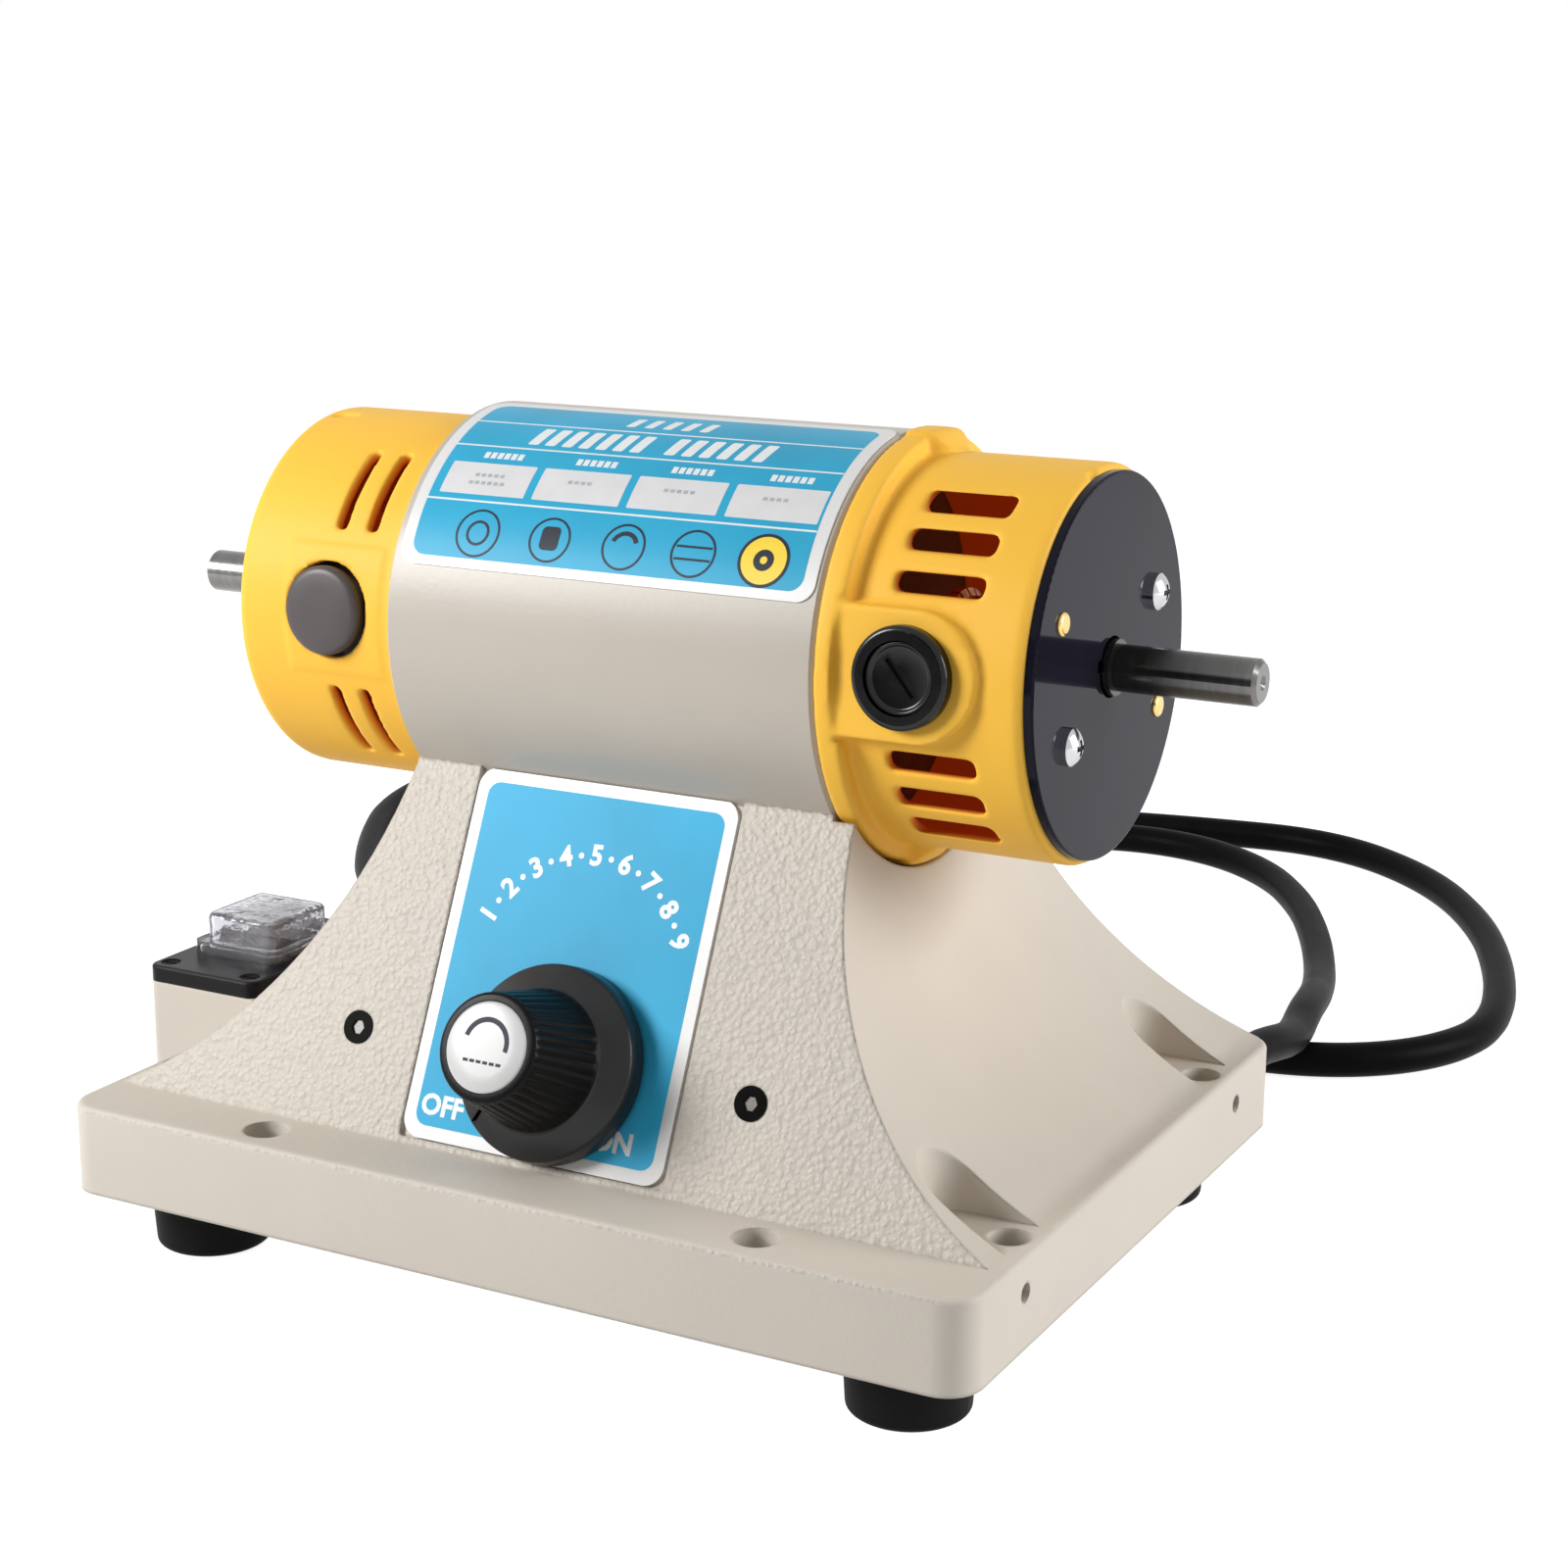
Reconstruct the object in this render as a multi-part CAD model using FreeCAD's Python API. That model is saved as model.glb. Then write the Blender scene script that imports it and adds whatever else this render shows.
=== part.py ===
"""Two-ended bench polishing lathe.

A universal motor lies across a hollow cast base. Its shaft stands out at both ends for buffs and
chucks. The slanted front of the base carries the speed control, and a box at the left side holds
the mains switch. Millimetres, +Z up. While it is modelled, X and Y are measured from the middle of
the base plate and Z from the table top. The finished pieces are then moved together so that the
origin lies under the middle of the machine without its cord.
"""
import FreeCAD, Part
import math
import os

V = FreeCAD.Vector
X_AXIS = V(1, 0, 0)
Z_AXIS = V(0, 0, 1)

# ---------------------------------------------------------------- driving dimensions
# base casting
base_width = 225.3            # X
base_depth = 177.2            # Y
plate_thickness = 20.6
plate_corner = 8.0
plate_edge_round = 1.4
casting_wall = 6.0
plate_rim = 32.0              # solid rim of the plate outside the hollow, at the left and right
front_ledge = 17.3            # plate in front of the pedestal
rear_ledge = 2.3              # plate behind the pedestal
saddle_angle = 40.0           # edge of the saddle on the tube, below the horizontal
flank_inset = (2.15, 3.55)    # feet of the hollow flanks from the left and right edge
flank_waist = (49.5, 60.8)    # left and right half width at the waist
flank_radius = (108.0, 83.3)
waist_height = 75.6           # above the plate

# holes of the base casting
ledge_hole = 5.0
ledge_hole_x = 61.8
ledge_hole_inset = 9.2        # from the front edge
pocket_width = 16.5
pocket_inset = (18.15, 33.6)  # insets are from the side and from the front or rear edge
bench_hole = 4.5
bench_hole_inset = (6.65, 34.1)
side_hole = 2.1
side_hole_inset = 27.6
side_hole_drop = 8.2          # below the top of the plate
side_hole_depth = 4.5

# feet and bottom cover
foot_height = 15.5
foot_top = 14.0
foot_bottom = 13.0
foot_inset = (23.15, 23.1)
foot_recess = 6.5             # depth of the screw head in the foot
foot_screw = 2.5
foot_screw_head = 4.75
foot_screw_bite = 11.0        # of the screw in the plate
cover_thickness = 1.5
cover_vent = (34.0, 3.0)
cover_vent_pitch = 8.0
cover_vents = 5
cover_lip = 6.0
cover_screw = 1.5

# front panel and speed control
panel_x = 0.7
panel_width = 65.8
panel_height = 83.0
panel_rise = 1.8              # lower edge above the foot of the front face
panel_corner = 4.5
panel_thickness = 1.0
panel_tube_gap = 0.3
recess_depth = 1.2
recess_gap = 2.0
knob_x = 3.2
knob_rise = 22.8
knob_gap = 0.8                # between the panel and the skirt
knob_skirt = 21.5
knob_skirt_height = 5.6
knob_grip = 15.8
knob_grip_top = 11.9
knob_height = 29.0
knob_ribs = 24
knob_cap_radius = 10.3
knob_cap_thickness = 1.2
knob_travel = 270.0
pot_shaft = 3.0
pot_bush = 3.5
pot_body = 12.0
pot_depth = 12.0
face_screw_x = 49.8           # either side of the panel's middle
face_screw = 2.0
face_screw_head = 3.4

# motor
axis_height = 106.7           # motor axis above the plate
tube_radius = 46.35
tube_wall = 3.85
tube_left = -50.0
tube_right = 56.0
spigot = 6.0                  # how far each end cap goes into the tube
cap_wall = 2.9
cap_step = (3.9, 3.95)        # left and right cap, below the surface of the tube
left_end = -92.4
right_end = 102.3             # outer face of the end disc
left_round = 6.0
right_round = 1.2
cap_end_wall = 3.0
flange_end = 61.5
lug_rise = 0.95               # round lugs above and below the right cap, proud of the tube
lug_end = 67.0
lug_width = 17.2
cap_gap = 0.3                 # between the base and the lugs of the right cap
rim_notch = (4.0, 1.6)        # on top of each end cap: width, depth
disc_margin = 1.4             # of the end cap round the disc
disc_thickness = 2.0
disc_hole = 6.6
disc_screw_reach = 26.0
disc_screw_angle = 28.5
disc_pin_reach = 30.3
disc_pin_angle = 26.6
disc_screw = 2.0
disc_screw_head = 4.0
disc_screw_rise = 3.2
disc_pin = 2.5
plate_label_from = 20.0       # wrapped data plate, degrees above the horizontal front
plate_label_to = 86.0
plate_label_margin = (2.5, 1.5)
plate_label_thickness = 0.4

# vents of the end caps: degrees from the brush line, both ways, on both sides of the motor
brush_tilt = 4.0
vent_angles = (25.5, 38.5, 52.5)
vent_width = 4.2
vent_from = 69.6
vent_to = 89.4
ring_vent_x = (-68.0, -59.8)
ring_vent_shift = -1.6        # of the lower ones
ring_vent_width = 2.8
ring_vent_from = 25.0
ring_vent_to = 54.5

# brush gear
brush_x = 75.5
brush_pad = 13.7
brush_pad_shift = 1.9         # of its round end from the brush, to the right
brush_pad_rise = 1.8          # above the right cap
brush_land = 19.5             # narrower flange on both sides of the brush line, degrees
brush_land_step = 1.5
brush_bezel = 10.7
brush_bezel_rise = 3.0        # above the pad
brush_tube = 6.9
brush_tube_wall = 1.2
brush_cap = 7.7
brush_cap_drop = 0.6          # below the rim of the bezel
brush_cap_depth = 4.2         # of its neck, below the pad
carbon = (8.0, 6.0, 17.0)     # along the shaft, across it, length
running_gap = 0.3             # between turning and standing curved faces

# turning parts
shaft_right = 135.3
shaft_left = -134.4
shaft_end = 5.0
shaft_body = 6.0
shaft_shoulder = 1.5          # of the thick part, proud of each end
shaft_chamfer = 0.9
bearing_outer = 14.0
bearing_inner = 8.2
bearing_width = 8.0
bearing_balls = 7
bearing_ball = 2.4
bearing_boss = 18.0
core_left = -20.0
core_right = 26.0
core_share = 0.565            # of the bore of the tube, taken by the armature core
core_slots = 12
slot_share = 0.416            # of the radius of the core, depth of its slots
air_gap = 0.5
yoke_thickness = 7.5
shoe_thickness = 3.5
shoe_span = 58.0
pole_neck = 13.0
winding_overhang = 12.0
commutator_radius = 12.0
commutator_length = 18.0
commutator_bars = 24
fan_clearance = 6.5           # inside the tube
fan_blades = 9
fan_left = -47.0
fan_width = 9.0

# spindle lock
lock_x = -69.0
lock_button = 10.4
lock_button_proud = 2.5
lock_land = (-80.0, -54.5)    # slightly raised land of the cap round the button
lock_land_span = 19.6         # degrees on both sides
lock_land_rise = 0.3
lock_travel = 4.0
lock_pin = 2.5
lock_collar = 13.0
lock_collar_width = 12.0
lock_guide = 13.2
lock_well = 10.25             # floor of the guide, below the surface of the cap
lock_button_thickness = 3.4

# mains switch
box_width = 33.4              # stands out from the left side of the plate
box_front = -20.0
box_rear = 34.5
box_wall = 2.5
box_corner = 3.0
box_rise = 4.4                # top of the box above the plate
lid_thickness = 4.2
boot_width = 26.6
boot_depth = 28.0
boot_flange = 3.2
boot_block = (22.0, 22.6)
boot_height = 10.2
boot_wall = 1.2
housing_flange = (23.2, 24.6)
housing_body = (21.0, 22.0)
housing_depth = 16.0
rocker_width = 17.6
rocker_reach = 9.5
rocker_tilt = 10.0

# cord
cord_radius = 4.7
cord_exit_inset = 13.65       # from the right edge
cord_exit_drop = 13.2         # below the top of the plate
cord_lift = 0.1               # of the cord and plug from the table
wire_way = 3.5                # drilled from the strain relief into the hollow
relief_length = 16.0
relief_depth = 9.0            # of the part of the strain relief inside the plate
relief_root = 6.6
relief_flange = 7.3
relief_tip = 5.7
cord_route = [                # bends after the strain relief: X and Y from the exit, share of its height
    (0.0, 25.2, 1), (0.8, 36.4, 0.906), (0.4, 48.9, 0.74), (-1.6, 62.4, 0.597),
    (-5.4, 81.9, 0.597), (-9.4, 101.4, 0.431), (-15.0, 123.4, 0.188), (-23.0, 150.4, 0),
    (-34.6, 181.4, 0), (-50.4, 214.4, 0), (-72.0, 244.4, 0), (-102.0, 263.4, 0),
    (-136.0, 263.4, 0), (-168.0, 242.9, 0), (-192.0, 208.4, 0), (-203.0, 167.4, 0),
    (-195.0, 127.4, 0), (-168.0, 97.4, 0), (-131.0, 79.4, 0), (-93.0, 71.4, 0), (-57.0, 68.8, 0),
    (-28.0, 69.6, 0), (-2.7, 72.2, 0), (18.3, 84.8, 0), (31.6, 105.3, 0), (34.6, 129.6, 0),
    (26.0, 169.4, 0), (7.0, 218.9, 0), (-23.0, 263.4, 0), (-64.0, 290.9, 0), (-110.0, 285.4, 0),
    (-158.0, 273.9, 0), (-209.0, 279.4, 0), (-262.0, 289.4, 0), (-316.0, 283.4, 0),
    (-361.0, 257.4, 0), (-383.0, 215.4, 0), (-376.0, 171.4, 0), (-355.0, 132.4, 0),
    (-328.0, 93.4, 0),
]
plug_route = [                # the last two, at the height of the plug: X and Y from the exit
    (-298.0, 69.4), (-266.0, 59.4),
]
plug_length = 36.0
plug_tail = 12.0
plug_width = 33.0
plug_thickness = 14.6
plug_pin = 2.0
plug_pin_length = 19.0
plug_pin_spread = 9.5

# ---------------------------------------------------------------- places worked out
plate_bottom = foot_height
plate_top = plate_bottom + plate_thickness
axis_z = plate_top + axis_height
tube_bore = tube_radius - tube_wall
left_cap_radius, right_cap_radius = [tube_radius - step for step in cap_step]
lug_radius = tube_radius + lug_rise
disc_radius = right_cap_radius - disc_margin
brush_pad_reach = right_cap_radius + brush_pad_rise
brush_bezel_reach = brush_pad_reach + brush_bezel_rise
brush_cap_reach = brush_bezel_reach - brush_cap_drop
yoke_inner = tube_bore - yoke_thickness
core_radius = core_share * tube_bore
slot_depth = slot_share * core_radius
fan_radius = tube_bore - fan_clearance
lock_floor = left_cap_radius - lock_well
front_foot = base_depth / 2 - front_ledge
rear_foot = base_depth / 2 - rear_ledge
flank_foot = [base_width / 2 - inset for inset in flank_inset]
pocket_x, pocket_y = base_width / 2 - pocket_inset[0], base_depth / 2 - pocket_inset[1]
bench_hole_x, bench_hole_y = base_width / 2 - bench_hole_inset[0], base_depth / 2 - bench_hole_inset[1]
foot_x, foot_y = base_width / 2 - foot_inset[0], base_depth / 2 - foot_inset[1]
ledge_hole_y = base_depth / 2 - ledge_hole_inset
side_hole_y = base_depth / 2 - side_hole_inset
saddle_y = tube_radius * math.cos(math.radians(saddle_angle))
saddle_z = axis_z - tube_radius * math.sin(math.radians(saddle_angle))
face_lean = math.degrees(math.atan2(front_foot - saddle_y, saddle_z - plate_top))
rear_lean = math.degrees(math.atan2(rear_foot - saddle_y, saddle_z - plate_top))
hollow_x = base_width / 2 - plate_rim
box_top = plate_top + box_rise
lid_top = box_top + lid_thickness
box_x = -base_width / 2 - box_width / 2
box_y = (box_front + box_rear) / 2
disc_back = right_end - disc_thickness
left_boss_end = left_end + cap_end_wall + bearing_width
cord_exit = V(base_width / 2 - cord_exit_inset, base_depth / 2, plate_top - cord_exit_drop)
cord_rest = cord_radius + cord_lift
plug_rest = plug_thickness / 2 + cord_lift
cord_points = [cord_exit + V(0, relief_length, 0)]
cord_points += [V(cord_exit.x + x, cord_exit.y + y, cord_rest + (cord_exit.z - cord_rest) * share)
                for x, y, share in cord_route]
cord_points += [V(cord_exit.x + x, cord_exit.y + y, plug_rest) for x, y in plug_route]


# ---------------------------------------------------------------- small helpers
def box(x0, x1, y0, y1, z0, z1):
    """Box between two corners."""
    return Part.makeBox(x1 - x0, y1 - y0, z1 - z0, V(x0, y0, z0))


def rod(radius, z0, z1, x=0.0, y=0.0):
    """Upright round bar."""
    return Part.makeCylinder(radius, z1 - z0, V(x, y, z0))


def x_rod(radius, x0, x1, y=0.0, z=None):
    """Round bar along X, on the motor axis unless y and z say otherwise."""
    return Part.makeCylinder(radius, x1 - x0, V(x0, y, axis_z if z is None else z), X_AXIS)


def outline(*steps):
    """Closed face outline. A step is a point, or a pair: a point on an arc and the arc's end."""
    edges = []
    here = steps[0]
    for step in steps[1:] + (steps[0],):
        if isinstance(step, tuple):
            edges.append(Part.Arc(here, step[0], step[1]).toShape())
            here = step[1]
        elif (step - here).Length > 1e-6:
            edges.append(Part.LineSegment(here, step).toShape())
            here = step
    return Part.Face(Part.Wire(edges))


def turned(*points, start=0.0, sweep=360.0):
    """Solid turned about the motor axis from (x, radius) points. Start and sweep are in degrees
    from the horizontal front, rising towards the top."""
    steps = [tuple(V(q[0], -q[1], axis_z) for q in p) if isinstance(p[0], tuple)
             else V(p[0], -p[1], axis_z) for p in points]
    solid = outline(*steps).revolve(V(0, 0, axis_z), V(-1, 0, 0), sweep)
    return about_axis(solid, start)


def about_axis(shape, degrees):
    """Turn a shape about the motor axis, front edge rising for positive degrees."""
    copy = shape.copy()
    copy.rotate(V(0, 0, axis_z), V(-1, 0, 0), degrees)
    return copy


def leaning(shape, origin, degrees):
    """Move a shape from its own frame to one at origin whose Z leans forward out of the machine,
    the given degrees above the horizontal. Its Y then runs up the slope."""
    copy = shape.copy()
    copy.Placement = FreeCAD.Placement(origin, FreeCAD.Rotation(X_AXIS, 90 - degrees))
    return copy


def on_face(shape, x, rise):
    """Seat a shape on the slanted front face: its Z points out of the face."""
    lean = math.radians(face_lean)
    origin = V(x, -front_foot + rise * math.sin(lean), plate_top + rise * math.cos(lean))
    return leaning(shape, origin, face_lean)


def radial(shape, x, back=False):
    """Seat a shape on the motor axis at x, with its Z along the brush line."""
    shape = leaning(shape, V(x, 0, axis_z), brush_tilt)
    return about_axis(shape, 180) if back else shape


def rounded_block(width, depth, height, corner, x=0.0, y=0.0, z=0.0):
    """Block with its middle at x, y, its foot at z and rounded upright corners."""
    block = box(x - width / 2, x + width / 2, y - depth / 2, y + depth / 2, z, z + height)
    upright = [e for e in block.Edges if abs(e.tangentAt(e.FirstParameter).z) > 0.99]
    return block.makeFillet(corner, upright)


def edges_where(shape, test):
    """Edges whose middle point passes a test."""
    chosen = []
    for edge in shape.Edges:
        middle = edge.valueAt((edge.FirstParameter + edge.LastParameter) / 2)
        if test(middle, edge):
            chosen.append(edge)
    return chosen


def level(edge):
    """Whether an edge stays at one height."""
    return edge.BoundBox.ZLength < 1e-4


def joined(*shapes):
    """One solid from touching or overlapping shapes."""
    return shapes[0].multiFuse(list(shapes[1:])).removeSplitter()


def group(*shapes):
    """Separate solids kept together as one node."""
    solids = []
    for shape in shapes:
        solids.extend(shape.Solids)
    return Part.makeCompound(solids)


def pan_screw(shank, head, length, head_height=2.4, cross=True):
    """Screw along Z: shank below zero, domed head with a cross recess above it."""
    dome = Part.makeSphere(head * 1.3, V(0, 0, head_height - head * 1.3))
    cap = rod(head, 0, head_height).common(dome)
    screw = joined(cap, rod(shank, -length, 0))
    if cross:
        arm = head * 0.42
        slot = head * 0.13
        for across, along in ((arm, slot), (slot, arm)):
            screw = screw.cut(box(-across, across, -along, along, head_height * 0.45, head_height + 1))
    return screw


def arc_centre(foot, waist, radius):
    """Centre of the arc of a given radius from foot to waist that bulges towards the middle."""
    middle = (foot + waist) * 0.5
    chord = waist - foot
    rise = math.sqrt(radius ** 2 - (chord.Length / 2) ** 2)
    outward = V(chord.z, 0, -chord.x).normalize()
    if (outward.x > 0) != (foot.x > 0):
        outward = outward * -1
    return middle + outward * rise


# ---------------------------------------------------------------- base casting
def flank_profile(grow):
    """Outline across the pedestal, hollow flanks left and right, shrunk by grow."""
    sides = []
    for sign, foot_at, waist_at, radius in zip((-1, 1), flank_foot, flank_waist, flank_radius):
        foot = V(sign * foot_at, 0, plate_top)
        waist = V(sign * waist_at, 0, plate_top + waist_height)
        centre = arc_centre(foot, waist, radius)
        grown = radius + grow
        ends = [math.atan2(p.z - centre.z, p.x - centre.x) for p in (foot, waist)]
        if sign > 0:
            ends = [angle % (2 * math.pi) for angle in ends]
        angles = (ends[0], (ends[0] + ends[1]) / 2, ends[1])
        sides.append([centre + V(math.cos(a), 0, math.sin(a)) * grown for a in angles])
    left, right = sides
    low = plate_bottom if grow else plate_top - casting_wall
    left_low, right_low = left[0].x, right[0].x
    return outline(
        V(left_low, 0, low), left[0], (left[1], left[2]), V(left[2].x, 0, saddle_z),
        V(right[2].x, 0, saddle_z), right[2], (right[1], right[0]), V(right_low, 0, low))


def slope_profile(grow):
    """Outline from front to rear of the pedestal, shrunk by grow."""
    low = plate_bottom if grow else plate_top - casting_wall
    front_in = grow / math.cos(math.radians(face_lean))
    rear_in = grow / math.cos(math.radians(rear_lean))
    return outline(
        V(0, -front_foot + front_in, low), V(0, -front_foot + front_in, plate_top),
        V(0, -saddle_y + front_in, saddle_z), V(0, saddle_y - rear_in, saddle_z),
        V(0, rear_foot - rear_in, plate_top), V(0, rear_foot - rear_in, low))


def pedestal_form(grow):
    """Waisted pedestal, up to the saddle for the motor."""
    across = flank_profile(grow)
    across.translate(V(0, -base_depth, 0))
    across = across.extrude(V(0, 2 * base_depth, 0))
    along = slope_profile(grow)
    along.translate(V(-base_width, 0, 0))
    along = along.extrude(V(2 * base_width, 0, 0))
    form = across.common(along)
    return form.cut(x_rod(tube_radius + grow, -base_width, base_width))


def base_hollow():
    """Hollow of the casting, open at the bottom."""
    reach = box(-hollow_x, hollow_x, -base_depth, base_depth, plate_bottom - 1, axis_z)
    return pedestal_form(casting_wall).common(reach)


def cover_outline(z0, z1, gap=0.0):
    """Block with the outline of the bottom cover."""
    front = -front_foot + casting_wall / math.cos(math.radians(face_lean)) - cover_lip
    rear = rear_foot - casting_wall / math.cos(math.radians(rear_lean)) + cover_lip / 2
    side = hollow_x + cover_lip
    return rounded_block(2 * side - 2 * gap, rear - front - 2 * gap, z1 - z0, plate_corner / 2,
                         0, (front + rear) / 2, z0)


def cover_screw_places():
    """Middles of the cover screws, halfway along its four edges."""
    edge = cover_outline(0, 1).BoundBox
    inset = cover_lip / 4 + cover_screw / 2
    return [(edge.XMin + inset, 0), (edge.XMax - inset, 0), (-25, edge.YMin + inset + 0.6)]


def corner_places(x, y):
    """Four places mirrored about the middle of the base."""
    return [(sx * x, sy * y) for sx in (-1, 1) for sy in (-1, 1)]


def panel_recess():
    """Shallow recess of the front face around the panel plate."""
    width = panel_width + 2 * recess_gap
    height = panel_height + 3 * recess_gap
    block = rounded_block(width, height, recess_depth + 2, panel_corner + recess_gap,
                          0, height / 2, -recess_depth)
    return on_face(block, panel_x, panel_rise - recess_gap * 0.75)


def base_casting():
    """Plate and pedestal in one casting, with every hole that is drilled in it."""
    half_x, half_y = base_width / 2, base_depth / 2
    plate = rounded_block(base_width, base_depth, plate_thickness, plate_corner, z=plate_bottom)
    rims = edges_where(plate, lambda p, e: level(e) and abs(p.z - plate_top) < 1e-4)
    plate = plate.makeFillet(plate_edge_round, rims)
    pedestal = pedestal_form(0.0)
    casting = joined(plate, pedestal)
    for x, y in corner_places(pocket_x, pocket_y):
        side = math.copysign(half_x, x)
        low, high = sorted((x, side * 1.1))
        inner = rod(pocket_width / 2, plate_top, plate_top + 40, x, y)
        run = box(low, high, y - pocket_width / 2, y + pocket_width / 2, plate_top, plate_top + 40)
        casting = casting.cut(inner.fuse(run))
    casting = casting.cut(base_hollow())
    casting = casting.cut(cover_outline(plate_bottom - 1, plate_bottom + cover_thickness))
    casting = casting.cut(panel_recess())
    holes = [rod(bench_hole, 0, plate_top + 1, x, y) for x, y in corner_places(bench_hole_x, bench_hole_y)]
    holes += [rod(ledge_hole, 0, plate_top + 1, x, -ledge_hole_y) for x in (-ledge_hole_x, ledge_hole_x)]
    for x, y in corner_places(foot_x, foot_y):
        holes.append(rod(foot_screw, 0, plate_bottom + foot_screw_bite + 1, x, y))
    for x, y in cover_screw_places():
        holes.append(rod(cover_screw, 0, plate_bottom + 9, x, y))
    side_z = plate_top - side_hole_drop
    for x, y in corner_places(half_x - side_hole_depth, side_hole_y):
        start = min(x, math.copysign(half_x + 1, x))
        holes.append(x_rod(side_hole, start, start + side_hole_depth + 1, y, side_z))
    holes.append(on_face(rod(pot_bush, -casting_wall - 4, 1), knob_x, knob_rise))
    for side in (-1, 1):
        x = panel_x + side * face_screw_x
        holes.append(on_face(rod(face_screw, -casting_wall - 6, 0), x, knob_rise))
        holes.append(on_face(rod(face_screw_head, -3.4, 3), x, knob_rise))
    for x in saddle_bolt_places():
        holes.append(rod(3.0, plate_top + 40, axis_z, x, 0))
    holes.append(rod(6.0, plate_top + 40, axis_z, (tube_left + tube_right) / 2, 0))
    for y in switch_fixings():
        holes.append(x_rod(2.0, -half_x - 1, -half_x + 14, y, side_z))
    holes += cord_holes()
    relief = turned((tube_right - 0.3, 0), (tube_right - 0.3, lug_radius + cap_gap),
                    (lug_end + 1, lug_radius + cap_gap), (lug_end + 1, 0))
    holes.append(relief)
    for hole in holes:
        casting = casting.cut(hole)
    return casting


def cord_holes():
    """Seat of the strain relief, and the slanted hole from it into the hollow."""
    seat = Part.makeCylinder(relief_tip, relief_depth + 1, cord_exit - V(0, relief_depth, 0), V(0, 1, 0))
    start = cord_exit - V(0, relief_depth - 1, 0)
    inside = V(hollow_x - 7, start.y - 14, start.z)
    way = Part.makeCylinder(wire_way, (inside - start).Length, start, inside - start)
    return [seat, way]


def saddle_bolt_places():
    """Where the two bolts from inside the pedestal hold the motor tube."""
    quarter = (tube_right - tube_left) / 4
    return [tube_left + quarter, tube_right - quarter]


def saddle_bolts():
    """Hex bolts with washers under the saddle wall."""
    under = axis_z - tube_radius - casting_wall
    bolts = []
    for x in saddle_bolt_places():
        head = Part.Face(Part.makePolygon([
            V(x + 5.8 * math.cos(math.radians(60 * k)), 5.8 * math.sin(math.radians(60 * k)), under - 5.6)
            for k in range(7)])).extrude(V(0, 0, 4.0))
        washer = rod(7.0, under - 1.6, under + 0.36, x, 0)
        washer = washer.cut(x_rod(tube_radius + casting_wall, x - 10, x + 10))
        shank = rod(3.0, under - 1.6, axis_z - tube_bore - 0.3, x, 0)
        bolts.append(joined(head, washer, shank))
    return group(*bolts)


def rubber_foot(x, y):
    """Tapered foot with a counterbore for its screw."""
    foot = Part.makeCone(foot_bottom, foot_top, foot_height, V(x, y, 0))
    foot = foot.makeFillet(1.6, edges_where(foot, lambda p, e: level(e) and p.z < 0.1))
    foot = foot.cut(rod(foot_screw_head + 0.4, -1, foot_recess, x, y))
    return foot.cut(rod(foot_screw, 0, foot_height + 1, x, y))


def foot_screws():
    """Pan-head screws up through the feet into the plate."""
    screws = []
    for x, y in corner_places(foot_x, foot_y):
        screw = pan_screw(foot_screw, foot_screw_head, foot_height - foot_recess + foot_screw_bite, 3.0)
        screw.rotate(V(0, 0, 0), X_AXIS, 180)
        screw.translate(V(x, y, foot_recess))
        screws.append(screw)
    return group(*screws)


def base_cover():
    """Sheet cover let into the underside, clear of the foot screws."""
    sheet = cover_outline(plate_bottom, plate_bottom + cover_thickness, 0.15)
    for x, y in cover_screw_places():
        sheet = sheet.cut(rod(cover_screw, 0, axis_z, x, y))
    for x, y in corner_places(foot_x, foot_y):
        sheet = sheet.cut(rod(foot_screw + 1.5, 0, axis_z, x, y))
    for row in range(cover_vents):
        slot = rounded_block(*cover_vent, 4 * cover_thickness, cover_vent[1] * 0.47,
                             0, cover_vent_pitch * (row + 2), plate_bottom - cover_thickness)
        sheet = sheet.cut(slot)
    return sheet


def base_cover_screws():
    """Small pan-head screws of the cover."""
    screws = []
    for x, y in cover_screw_places():
        screw = pan_screw(cover_screw, 2.7, 8.0, 1.6, cross=False)
        screw.rotate(V(0, 0, 0), X_AXIS, 180)
        screw.translate(V(x, y, plate_bottom))
        screws.append(screw)
    return group(*screws)


# ---------------------------------------------------------------- front face
def panel_plate():
    """Printed aluminium plate in the recess, drilled for the potentiometer."""
    plate = rounded_block(panel_width, panel_height, panel_thickness, panel_corner,
                          0, panel_height / 2, -recess_depth)
    plate = on_face(plate, panel_x, panel_rise)
    plate = plate.cut(x_rod(tube_radius + panel_tube_gap, tube_left, tube_right))
    return plate.cut(on_face(rod(pot_bush, -10, 10), knob_x, knob_rise))


def face_screws():
    """Black socket screws either side of the panel, sunk in the face."""
    screws = []
    for side in (-1, 1):
        head = rod(face_screw_head, -3.4, -0.5)
        socket = Part.Face(Part.makePolygon([
            V(1.7 * math.cos(math.radians(60 * k)), 1.7 * math.sin(math.radians(60 * k)), -2.4)
            for k in range(7)])).extrude(V(0, 0, 3))
        screw = joined(head, rod(face_screw, -casting_wall - 5, -3.4)).cut(socket)
        screws.append(on_face(screw, panel_x + side * face_screw_x, knob_rise))
    return group(*screws)


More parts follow.
